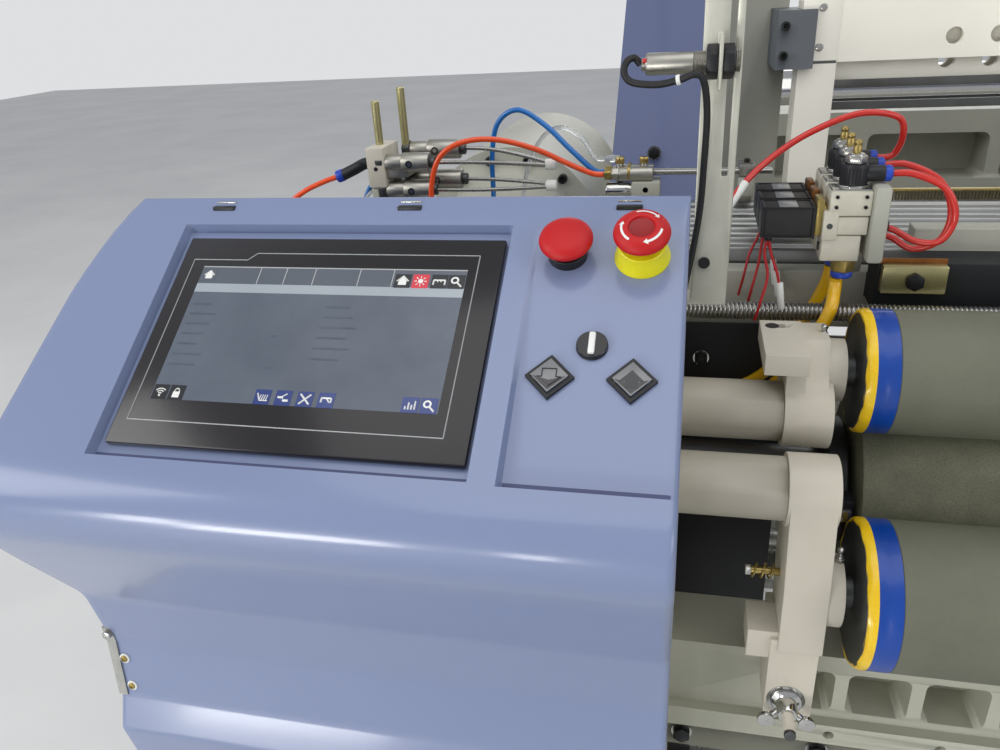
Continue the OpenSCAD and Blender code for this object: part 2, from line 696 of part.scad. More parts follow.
// The hoses that enter each valve from the side and from below
side_port = valve_mid + half + 50 + slack;
plate_port = plate_x[1] + half + slack;
red_low = [[side_port, -314.5, 170], [5, -314.5, 169], [45, -314, 154], [57, -315, 128],
    [44, -316, 107], [12, -310, 109], [-12, -301, 118], [plate_port, -300, 120]];
red_high = [[side_port, -279.5, 170], [5, -279.5, 170], [48, -284, 154], [62, -292, 128],
    [52, -298, 102], [18, -292, 95], [-10, -286, 106], [plate_port, -285, 108]];
red_arc = [[side_port, -244.5, 170], [-1, -244.5, 171], [4, -250, 190], [-15, -256, 208],
    [-50, -264, 213], [-92, -272, 198], [-125, -285, 178], [-148, -300, 158],
    [-166, -316, 134], [-176, -326, 108], [-181, -330, 82], [-184, -330, 64],
    [-191, -330, 56], [-frame_gap + slack, -330, 55]];
yellow_drop = [[0, 0, -18 - slack], [0, 0, -24], [-1, 0, -32], [-5, 1, -46], [-17, 1, -74],
    [-30, 5, -104], [-46, 10, -136], [-72, 13, -158], [-104, 14, -167],
    [-frame_in + slack - valve_mid, 14, -168]];
yellow_front = [0, 0, -5, -19, -22, -14, -4, 0, 0, 0];
module valve_hoses() {
    color("#e23320") {
        hose(on_deck(red_low), 3);
        hose(on_deck(red_high), 3);
        hose(on_deck(red_arc), 3);
    }
    color("#f2c013") for (i = [0, 1])
        hose([for (k = [0:len(yellow_drop) - 1]) yellow_drop[k]
            + [valve_mid, valve_y(i) + 15.5 + (1 - i) * yellow_front[k], valve_z[0]]], 6, 10);
}

// Photoelectric sensor on its plate
strip_x = [-(half + 191), -(half + 160)];
strip_y = -369;
eye_at = [strip_y - 15, front_top + 207];
module sensor_plate() color("#b9bbb4") difference() {
    union() {
        block([strip_x[0], strip_y, front_top], [strip_x[1], strip_y + 4, front_top + 295]);
        block([strip_x[0] - 50, strip_y, front_top], [strip_x[0], strip_y + 30, front_top + 4]);
        block([strip_x[0] + 12, strip_y - 30, eye_at[1] - 20],
            [strip_x[0] + 15, strip_y, eye_at[1] + 20]);
    }
    rod_x(strip_x[0] + 11, strip_x[0] + 16, eye_at, 9);
    translate([strip_x[0] + 20, strip_y - cut, front_top + 115]) cube([5, 6, 150]);
}
module sensor() {
    color("#c6c8c8") {
        rod_x(strip_x[0] - 47, strip_x[0] + 12, eye_at, 8.6);
        rod_x(strip_x[0] + 12, strip_x[0] + 15, eye_at, 9 - run);
        rod_x(strip_x[0] + 15, strip_x[1] - 2, eye_at, 8.6);
    }
    color("#18191a") for (x = [strip_x[0] + 3, strip_x[0] + 15])
        translate([x, eye_at[0], eye_at[1]]) rotate([0, 90, 0]) cylinder(r = 13.5, h = 9, $fn = 6);
}
cable_route = [[-238 - slack, -384, 272], [-250, -384, 272.5], [-262, -388, 267], [-264, -390, 252],
    [-250, -390, 242], [-226, -386, 248], [-204, -380, 260], [-196, -376, 250],
    [-195, -374, 220], [-195.5, -373, 170], [-196, -372, 120], [-197, -371, 80],
    [-199, -371, front_top - rest_top + 4 + slack]];
module sensor_cable() color("#1a1b1d") hose(on_deck(cable_route), 2.8);

// Take-up rollers
module surface_roller() color("#4c4d45") {
    rod_x(-surface_end, surface_end, surface_at, surface_r);
    rod_x(-frame_out + 10, frame_out - 10, surface_at, surface_axle);
}
module press_roller(at, r) {
    rod_x(-roller_end, roller_end, at, r);
    rod_x(-lever_out + 12, lever_out - 12, at, press_axle);
}
module upper_press_roller() color("#7c7d6e") press_roller(upper_at, upper_r);
module lower_press_roller() color("#7c7d6e") press_roller(lower_at, lower_r);

boss_r = tube_r + 4;
module lever_bores(at, pivot) {
    rod_x(lever_in - cut, lever_out + cut, pivot, pivot_stud + run);
    rod_x(roller_end - cut, lever_out - 10, at, press_axle + run);
}
module upper_lever() difference() {
    union() {
        rod_x(lever_in, lever_out, upper_pivot, boss_r);
        rod_x(roller_end + 4, lever_out, upper_at, 28);
        slab_x(lever_in + 4, lever_out - 4) polygon([
            upper_pivot + [-26, 12], upper_pivot + [20, -20], upper_at + [24, -8],
            upper_at + [26, 24], upper_pivot + [49, 66], upper_pivot + [9, 66],
            upper_at + [-28, 8]
        ]);
        block([lever_out - 16, upper_pivot[0] - 28, upper_pivot[1] + 48],
            [lever_out + 20, upper_pivot[0] + 52, upper_pivot[1] + 66]);
        slab_x(lever_out - 16, lever_out) polygon([
            upper_pivot + [-14, 48], upper_pivot + [49, 48], upper_at + [24, -8],
            upper_pivot + [-20, 0]
        ]);
    }
    lever_bores(upper_at, upper_pivot);
    translate([lever_out + 2, upper_pivot[0] + 39, upper_pivot[1] + 42]) linear_extrude(30)
        soft_rect(16, 9, 4.4);
}
module lower_lever() difference() {
    union() {
        rod_x(lever_in, lever_out, lower_pivot, boss_r);
        rod_x(roller_end + 4, lever_out - 8, lower_at, 31);
        slab_x(lever_in + 2, lever_out - 2) polygon([
            lower_pivot + [-30, 6], lower_pivot + [30, 0], lower_pivot + [21, -83],
            lower_pivot + [11, -133], lower_pivot + [-49, -133], lower_pivot + [-45, -73]
        ]);
        slab_x(lever_in + 4, lever_out + 4) polygon([
            lower_pivot + [15, -123], lower_pivot + [-5, -207], lower_pivot + [-47, -207],
            lower_pivot + [-47, -123]
        ]);
        block([lever_out - 4, lower_pivot[0] - 43, lower_pivot[1] - 147],
            [lever_out + 23, lower_pivot[0] - 5, lower_pivot[1] - 118]);
        rod_y(wing_y - 36, wing_y + 1, wing_x, wing_z, 5);
    }
    lever_bores(lower_at, lower_pivot);
}
wing_x = lever_out - 14;
wing_y = lower_pivot[0] - 47;
wing_z = lower_pivot[1] - 190;
module upper_levers() color("#c8c2ae") both_sides() upper_lever();
module lower_levers() color("#c8c2ae") both_sides() lower_lever();
module wing_nut() difference() {
    union() {
        rod_y(wing_y - 4, wing_y - pass, wing_x, wing_z, 13);
        rod_y(wing_y - 18, wing_y - 4, wing_x, wing_z, 9);
        slab_y(wing_y - 16, wing_y - 10) translate([wing_x, wing_z]) rotate(-25) {
            square([46, 9], center = true);
            for (s = [-1, 1]) translate([s * 23, 0]) circle(7);
        }
    }
    rod_y(wing_y - 40, wing_y + 20, wing_x, wing_z, 5 + run);
}
module wing_nut_right() color("#b6b8b8") wing_nut();
module wing_nut_left() color("#b6b8b8") mirror([1, 0, 0]) wing_nut();
module threaded_roller() color("#8b8f90") {
    rod_x(-frame_in + 2, frame_in - 2, guide_at, guide_r);
    rod_x(-frame_in - 60, frame_in + 60, guide_at, guide_axle);
}
module cloth_roller() color("#8c8f93") {
    rod_x(-frame_in + 20, frame_in - 20, cloth_at, 50);
    rod_x(-frame_in - 70, frame_in + 70, cloth_at, cloth_axle);
}

// Heald frames
module heald_frame(i) {
    y0 = heald_y + i * heald_pitch;
    y1 = y0 + heald_t;
    z0 = heald_z - heald_drop * (i % 2);
    z1 = z0 + heald_h;
    color("#d4d6cf") difference() {
        union() {
            both_sides() block([heald_half - heald_bar, y0, z0], [heald_half, y1, z1]);
            block([-heald_half + heald_bar, y0 + 1, z1 - 96], [heald_half - heald_bar, y1 - 1, z1]);
            block([-heald_half + heald_bar, y0 + 1, z0], [heald_half - heald_bar, y1 - 1, z0 + 80]);
        }
        for (x = [-heald_half + 155 : 43 : heald_half - 150])
            rod_y(y0 - cut, y1 + cut, x, z1 - 74, 8.5);
    }
    color("#4a4c4a") for (z = [z1 - 124, z0 + 102]) {
        block([-heald_half + heald_bar, y0 + 3, z], [heald_half - heald_bar, y1 - 3, z + 9]);
    }
    color("#8d9090") for (s = [-1, 1])
        rod_z(heald_z - 130, z0, s * (half - 350), y0 + heald_t / 2, 3.5);
}
module heald_frame_1() heald_frame(0);
module heald_frame_2() heald_frame(1);
module heald_frame_3() heald_frame(2);
module heald_frame_4() heald_frame(3);

// Warp beam with its gear, and the pinion that lets it off
function tooth(n, m, i) = let (
    r = m * n / 2, a = 360 / n,
    spans = [[-0.27, -1.25], [-0.215, 0], [-0.1, 0.9], [0.1, 0.9], [0.215, 0], [0.27, -1.25]]
) [for (s = spans) (r + s[1] * m) * [cos(a * (i + s[0])), sin(a * (i + s[0]))]];
module gear_2d(n, m) polygon([for (i = [0:n - 1]) each tooth(n, m, i)]);
gear_x = [frame_in - 70, frame_in - 40];
module warp_beam() color("#8f9394") {
    rod_x(-frame_in - 80, frame_in + 80, beam_at, beam_axle);
    rod_x(-half, half, beam_at, barrel_r);
    for (s = [-1, 1]) rod_x(s * half - 7 , s * half + 7, beam_at, flange_r);
    slab_x(gear_x[0], gear_x[1]) translate(beam_at) rotate(pinion_angle)
        gear_2d(gear_teeth, gear_module);
}
module letoff_pinion() color("#7c7f80") {
    slab_x(gear_x[0] - 4, gear_x[1] + 4) translate(pinion_at)
        rotate(pinion_angle + 180 + 180 / pinion_teeth) gear_2d(pinion_teeth, gear_module);
    rod_x(gear_x[1] + 4, frame_out - 10, pinion_at, pinion_axle);
}

// Back roller on its easing levers
module easing_lever() difference() {
    union() {
        rod_x(frame_in + pass - 32, frame_in - pass, easing_at, 40);
        rod_x(frame_in - pass, frame_out - 20, easing_at, easing_pin);
        rod_x(frame_in - 32 + pass, frame_in - pass, back_at, 32);
        slab_x(frame_in - 28, frame_in - 6) polygon([
            easing_at + [-18, 34], easing_at + [24, -30], back_at + [20, -24],
            back_at + [-16, 27]
        ]);
    }
    rod_x(frame_in - 40, frame_in + cut, back_at, back_axle + run);
}
module easing_levers() color("#c4c2b2") both_sides() easing_lever();
module back_roller() color("#a9adae") {
    rod_x(-frame_in + 40, frame_in - 40, back_at, 60);
    rod_x(-frame_in + 8, frame_in - 8, back_at, back_axle);
}

// Drive
module main_shaft() color("#85888a") {
    rod_x(belt_x[0], frame_out - 20, main_at, main_r);
    difference() {
        rod_x(belt_x[0], belt_x[1], main_at, main_pulley_r);
        rod_x(belt_x[0] - cut, belt_x[0] + 12, main_at, main_pulley_r - 16);
    }
}
module hand_wheel() color("#2b2d31") {
    difference() {
        rod_x(belt_x[0] - 18, belt_x[0], main_at, 85);
        rod_x(belt_x[0] - 19, belt_x[0] + cut, main_at, 70);
    }
    for (a = [0:120:240]) slab_x(belt_x[0] - 14, belt_x[0] - 4) translate(main_at) rotate(a)
        translate([0, -8]) square([76, 16]);
    rod_x(belt_x[0] - 18, belt_x[0], main_at, 24);
}
module main_motor() color("#6d7784") {
    difference() {
        union() {
            rod_x(-frame_out - 250, -frame_out - 14, motor_at, 96);
            rod_x(-frame_out - 14, -frame_out, motor_at, 120);
            for (a = [0:15:345]) slab_x(-frame_out - 230, -frame_out - 40) translate(motor_at)
                rotate(a) translate([90, -2]) square([16, 4]);
            block([-frame_out - 180, motor_at[0] - 50, motor_at[1] + 90],
                [-frame_out - 70, motor_at[0] + 50, motor_at[1] + 150]);
        }
        rod_x(-frame_out - 251, -frame_out - 200, motor_at, 14 + run);
    }
}
module motor_pulley() color("#7f8284") {
    rod_x(belt_x[0], belt_x[1], motor_at, motor_pulley_r);
    rod_x(belt_x[1], -frame_out - 202, motor_at, 14);
}
belt_gap = norm(main_at - motor_at);
belt_turn = atan2(main_at[1] - motor_at[1], main_at[0] - motor_at[0]);
belt_side = 180 - acos((main_pulley_r - motor_pulley_r) / belt_gap);
function belt_outline(t, n = 40) = concat(
    [for (i = [0:n]) let (a = belt_side + (360 - 2 * belt_side) * i / n)
        (motor_pulley_r + t) * [cos(a), sin(a)]],
    [for (i = [0:n]) let (a = belt_side * (2 * i / n - 1))
        [belt_gap, 0] + (main_pulley_r + t) * [cos(a), sin(a)]]
);
module drive_belt() color("#222326") slab_x(belt_x[0] + 3, belt_x[1] - 3)
    translate(motor_at) rotate(belt_turn) difference() {
        polygon(belt_outline(6));
        polygon(belt_outline(pass));
    }
drum_at = [-frame_out - 83, rest_top + 21];
box_x = [-frame_out - 290, -frame_out];
box_y = [-20, 320];
module shedding_box() color("#b8bab3") {
    difference() {
        union() {
            block([box_x[0], box_y[0], 300], [box_x[1], box_y[1], rest_top - 20]);
            rod_y(box_y[0] + 20, box_y[1], drum_at[0], drum_at[1], 122);
            rod_y(box_y[0], box_y[0] + 20, drum_at[0], drum_at[1], 90);
        }
        rod_x(box_x[0] - cut, box_x[1] + cut, main_at, main_r + 8);
        block([-frame_out, box_y[0] - 10, drum_at[1] - 201],
            [-frame_out + 200, box_y[1] + 10, rest_top]);
    }
    for (z = knuckle_z) {
        rod_z(z - 21, z + 60, hinge_at.x, hinge_at.y, 6);
        for (k = [-1, 1]) {
            block([hinge_at.x - 8, box_y[1], z + 10 + 31 * k],
                [hinge_at.x + 12, hinge_at.y + 8, z + 29 + 31 * k]);
            block([hinge_at.x - 8, box_y[1], z + 10 + 31 * k],
                [box_x[0] + 50, box_y[1] + 8, z + 29 + 31 * k]);
        }
    }
}

left_frame();
right_frame();
front_beam();
rear_beam();
temple_beam();
temple_blocks();
left_upright();
right_upright();
top_beam();
console_cover();
right_cover();
side_door();
door_latch();
touch_panel();
switch_collars();
stop_button();
estop_collar();
estop_plunger();
estop_head();
selector_knob();
inch_button();
start_button();
sley_beam();
rocking_shaft();
reed();
main_nozzles();
tandem_bracket();
tandem_nozzles();
tandem_posts();
nozzle_hoses();
valve_hoses();
valve_block();
valve_coils();
valve_fittings();
sensor();
sensor_plate();
sensor_cable();
surface_roller();
upper_press_roller();
lower_press_roller();
upper_levers();
lower_levers();
wing_nut_left();
wing_nut_right();
threaded_roller();
cloth_roller();
heald_frame_1();
heald_frame_2();
heald_frame_3();
heald_frame_4();
warp_beam();
letoff_pinion();
back_roller();
easing_levers();
main_shaft();
hand_wheel();
main_motor();
motor_pulley();
drive_belt();
shedding_box();
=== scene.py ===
"""Air-jet power loom, dressed for the camera that stands over its left front console.

Lengths inside the builders are millimetres in the machine's frame: X to the right along
the loom, Y to the back, Z up, with the origin on the floor between the anchor bolts.
A piece is turned into metres when it leaves its Form.
"""

from __future__ import annotations

import json
import logging
import math
import random
from dataclasses import dataclass
from enum import Enum
from typing import Callable, Iterable, Optional, Sequence

import bmesh
import bpy
from mathutils import Matrix, Vector

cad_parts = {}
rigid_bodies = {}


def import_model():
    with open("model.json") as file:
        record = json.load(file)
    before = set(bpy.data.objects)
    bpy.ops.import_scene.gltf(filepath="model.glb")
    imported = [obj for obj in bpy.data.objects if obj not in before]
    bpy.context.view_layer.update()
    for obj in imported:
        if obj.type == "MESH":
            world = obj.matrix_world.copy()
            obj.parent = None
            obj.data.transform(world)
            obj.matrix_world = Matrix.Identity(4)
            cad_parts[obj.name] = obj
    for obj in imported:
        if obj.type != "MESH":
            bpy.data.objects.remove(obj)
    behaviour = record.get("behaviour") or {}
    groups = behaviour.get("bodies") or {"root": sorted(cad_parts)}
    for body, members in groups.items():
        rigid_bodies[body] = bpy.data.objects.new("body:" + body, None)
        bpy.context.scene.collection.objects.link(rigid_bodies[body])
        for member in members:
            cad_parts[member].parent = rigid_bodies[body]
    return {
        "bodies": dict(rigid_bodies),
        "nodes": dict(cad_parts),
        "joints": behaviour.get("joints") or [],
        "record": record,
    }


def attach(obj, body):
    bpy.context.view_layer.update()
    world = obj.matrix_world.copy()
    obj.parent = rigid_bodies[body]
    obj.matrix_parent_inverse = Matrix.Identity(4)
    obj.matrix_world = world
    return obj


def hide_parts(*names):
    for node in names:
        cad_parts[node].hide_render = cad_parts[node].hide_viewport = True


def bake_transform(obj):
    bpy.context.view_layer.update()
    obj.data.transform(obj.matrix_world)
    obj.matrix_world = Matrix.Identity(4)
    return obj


log = logging.getLogger("loom")

Point = tuple[float, float, float]
Pair = tuple[float, float]
METRES = 0.001
RIGHT: Point = (1, 0, 0)
UP: Point = (0, 0, 1)
FRONT: Point = (0, -1, 0)


class Slot(Enum):
    """Material slots of the record."""

    FRAME = "frame_paint"
    BEAM = "beam_paint"
    PANEL = "blue_panel"
    COVER = "cover_blue"
    LATCH = "latch_black"
    BEZEL = "panel_black"
    RED = "red_plastic"
    YELLOW = "yellow_plastic"
    KEY = "key_grey"
    SLEY = "sley_alu"
    BRIGHT = "bright_steel"
    DARK = "dark_steel"
    REED = "reed_steel"
    CHROME = "chrome_parts"
    BRASS = "brass_parts"
    HOSE = "hose_skin"
    VALVE = "valve_grey"
    COIL = "coil_black"
    CABLE = "cable_black"
    EMERY = "emery_cover"
    RUBBER = "roller_rubber"
    HEALD = "heald_alu"
    MOTOR = "motor_grey"
    BELT = "belt_black"


class Axis(Enum):
    """Directions along which a grain is drawn out."""

    NONE = (1.0, 1.0, 1.0)
    ALONG_X = (0.03, 1.0, 1.0)
    ALONG_Z = (1.0, 1.0, 0.03)
    ROUND_X = (1.0, 0.05, 0.05)


def linear(red: int, green: int, blue: int) -> tuple[float, float, float, float]:
    """Turns a colour of 0 to 255 as seen on a screen into the linear one of a shader."""
    parts = []
    for value in (red, green, blue):
        level = value / 255
        parts.append(level / 12.92 if level <= 0.04045 else ((level + 0.055) / 1.055) ** 2.4)
    return parts[0], parts[1], parts[2], 1.0


class Tree:
    """A node tree with short calls to place nodes and join them."""

    def __init__(self, tree: bpy.types.NodeTree) -> None:
        """Wraps a material's or a group's tree."""
        self.tree = tree

    def add(self, kind: str, values: Optional[dict] = None, **settings) -> bpy.types.Node:
        """Adds a node.

        Args:
            kind: Blender's name of the node type.
            values: input sockets by name or number, as plain values or output sockets.
            **settings: properties of the node itself.

        Returns:
            The new node.
        """
        node = self.tree.nodes.new(kind)
        for key, value in settings.items():
            setattr(node, key, value)
        for key, value in (values or {}).items():
            if isinstance(value, bpy.types.NodeSocket):
                self.tree.links.new(value, node.inputs[key])
            else:
                node.inputs[key].default_value = value
        return node

    def join(self, source: bpy.types.NodeSocket, target: bpy.types.NodeSocket) -> None:
        """Links one socket to another."""
        self.tree.links.new(source, target)


class Effects:
    """Shader groups that several finishes share, each built once."""

    _made: dict[str, bpy.types.NodeTree] = {}

    @classmethod
    def _group(cls, name: str, inputs: Sequence[tuple[str, str, object]],
               outputs: Sequence[tuple[str, str]]) -> tuple[Tree, bpy.types.Node, bpy.types.Node]:
        """Starts a group with its named sockets."""
        group = bpy.data.node_groups.new(name, "ShaderNodeTree")
        for label, kind, value in inputs:
            socket = group.interface.new_socket(label, in_out="INPUT", socket_type=kind)
            if value is not None:
                socket.default_value = value
        for label, kind in outputs:
            group.interface.new_socket(label, in_out="OUTPUT", socket_type=kind)
        tree = Tree(group)
        cls._made[name] = group
        return tree, tree.add("NodeGroupInput"), tree.add("NodeGroupOutput")

    @classmethod
    def drift(cls) -> bpy.types.NodeTree:
        """Slow change of colour over a surface, as in paint, rubber and castings."""
        if "colour drift" not in cls._made:
            tree, inner, outer = cls._group(
                "colour drift",
                [("Vector", "NodeSocketVector", None), ("Colour", "NodeSocketColor", None),
                 ("Other", "NodeSocketColor", None), ("Scale", "NodeSocketFloat", 6.0),
                 ("Amount", "NodeSocketFloat", 0.5)],
                [("Colour", "NodeSocketColor")])
            noise = tree.add("ShaderNodeTexNoise", {
                "Vector": inner.outputs["Vector"], "Scale": inner.outputs["Scale"],
                "Detail": 6.0, "Roughness": 0.6})
            spread = tree.add("ShaderNodeMapRange", {
                "Value": noise.outputs["Fac"], "From Min": 0.35, "From Max": 0.68})
            share = tree.add("ShaderNodeMath", {
                0: spread.outputs["Result"], 1: inner.outputs["Amount"]}, operation="MULTIPLY")
            mix = tree.add("ShaderNodeMix", {
                "Factor": share.outputs[0], 6: inner.outputs["Colour"],
                7: inner.outputs["Other"]}, data_type="RGBA")
            tree.join(mix.outputs[2], outer.inputs["Colour"])
        return cls._made["colour drift"]

    @classmethod
    def grain(cls) -> bpy.types.NodeTree:
        """Fine relief: orange peel, cast skin or brushing, by how the vector is drawn out."""
        if "surface grain" not in cls._made:
            tree, inner, outer = cls._group(
                "surface grain",
                [("Vector", "NodeSocketVector", None), ("Scale", "NodeSocketFloat", 400.0),
                 ("Softness", "NodeSocketFloat", 0.5)],
                [("Height", "NodeSocketFloat")])
            fine = tree.add("ShaderNodeTexNoise", {
                "Vector": inner.outputs["Vector"], "Scale": inner.outputs["Scale"],
                "Detail": 4.0, "Roughness": inner.outputs["Softness"]})
            tree.join(fine.outputs["Fac"], outer.inputs["Height"])
        return cls._made["surface grain"]

    @classmethod
    def marks(cls) -> bpy.types.NodeTree:
        """Uneven gloss from hands, oil and dust."""
        if "gloss marks" not in cls._made:
            tree, inner, outer = cls._group(
                "gloss marks",
                [("Vector", "NodeSocketVector", None), ("Scale", "NodeSocketFloat", 12.0),
                 ("Base", "NodeSocketFloat", 0.4), ("Spread", "NodeSocketFloat", 0.1)],
                [("Roughness", "NodeSocketFloat")])
            noise = tree.add("ShaderNodeTexNoise", {
                "Vector": inner.outputs["Vector"], "Scale": inner.outputs["Scale"],
                "Detail": 5.0, "Roughness": 0.7})
            centred = tree.add("ShaderNodeMath", {0: noise.outputs["Fac"], 1: 0.5},
                               operation="SUBTRACT")
            scaled = tree.add("ShaderNodeMath", {
                0: centred.outputs[0], 1: inner.outputs["Spread"], 2: inner.outputs["Base"]},
                operation="MULTIPLY_ADD")
            tree.join(scaled.outputs[0], outer.inputs["Roughness"])
        return cls._made["gloss marks"]


@dataclass(frozen=True)
class Finish:
    """One surface finish, from which a material is built on first use."""

    name: str
    colour: tuple[int, int, int]
    other: Optional[tuple[int, int, int]] = None
    drift: float = 0.5
    drift_scale: float = 6.0
    roughness: float = 0.4
    spread: float = 0.12
    metallic: float = 0.0
    coat: float = 0.0
    relief: float = 0.0
    relief_scale: float = 300.0
    relief_depth: float = 0.0004
    axis: Axis = Axis.NONE
    clear: float = 0.0
    glow: float = 0.0
    grit: float = 0.0

    def material(self) -> bpy.types.Material:
        """Gives the finish's material, built once."""
        found = bpy.data.materials.get(self.name)
        return found if found else self._build()

    def _build(self) -> bpy.types.Material:
        """Builds the node tree of the finish."""
        made = bpy.data.materials.new(self.name)
        made.use_nodes = True
        made.node_tree.nodes.clear()
        tree = Tree(made.node_tree)
        coords = tree.add("ShaderNodeTexCoord").outputs["Object"]
        drawn = tree.add("ShaderNodeMapping", {"Vector": coords, "Scale": self.axis.value})
        colour = tree.add("ShaderNodeGroup", node_tree=Effects.drift())
        tree.join(coords, colour.inputs["Vector"])
        colour.inputs["Colour"].default_value = linear(*self.colour)
        shade = self.other or tuple(int(value * 0.9) for value in self.colour)
        colour.inputs["Other"].default_value = linear(*shade)
        colour.inputs["Scale"].default_value = self.drift_scale
        colour.inputs["Amount"].default_value = self.drift
        gloss = tree.add("ShaderNodeGroup", node_tree=Effects.marks())
        tree.join(drawn.outputs["Vector"], gloss.inputs["Vector"])
        gloss.inputs["Base"].default_value = self.roughness
        gloss.inputs["Spread"].default_value = self.spread
        gloss.inputs["Scale"].default_value = 14.0 if self.axis is Axis.NONE else 300.0
        body = tree.add("ShaderNodeBsdfPrincipled", {
            "Metallic": self.metallic, "Coat Weight": self.coat, "Coat Roughness": 0.12,
            "Transmission Weight": self.clear, "IOR": 1.46})
        tree.join(self._tinted(tree, coords, colour.outputs["Colour"]), body.inputs["Base Color"])
        tree.join(gloss.outputs["Roughness"], body.inputs["Roughness"])
        if self.glow:
            body.inputs["Emission Strength"].default_value = self.glow
            tree.join(colour.outputs["Colour"], body.inputs["Emission Color"])
        if self.relief:
            grain = tree.add("ShaderNodeGroup", node_tree=Effects.grain())
            tree.join(drawn.outputs["Vector"], grain.inputs["Vector"])
            grain.inputs["Scale"].default_value = self.relief_scale
            bump = tree.add("ShaderNodeBump", {
                "Strength": self.relief, "Distance": self.relief_depth,
                "Height": grain.outputs["Height"]})
            tree.join(bump.outputs["Normal"], body.inputs["Normal"])
        out = tree.add("ShaderNodeOutputMaterial")
        tree.join(body.outputs["BSDF"], out.inputs["Surface"])
        return made

    def _tinted(self, tree: Tree, coords: bpy.types.NodeSocket,
                colour: bpy.types.NodeSocket) -> bpy.types.NodeSocket:
        """Adds dark specks to the colour where the finish is gritty."""
        if not self.grit:
            return colour
        specks = tree.add("ShaderNodeTexVoronoi", {"Vector": coords, "Scale": 900.0})
        mask = tree.add("ShaderNodeMapRange", {
            "Value": specks.outputs["Distance"], "From Min": 0.1, "From Max": 0.5,
            "To Min": self.grit, "To Max": 0.0})
        mix = tree.add("ShaderNodeMix", {
            "Factor": mask.outputs["Result"], 6: colour, 7: linear(30, 31, 27)},
            data_type="RGBA")
        return mix.outputs[2]


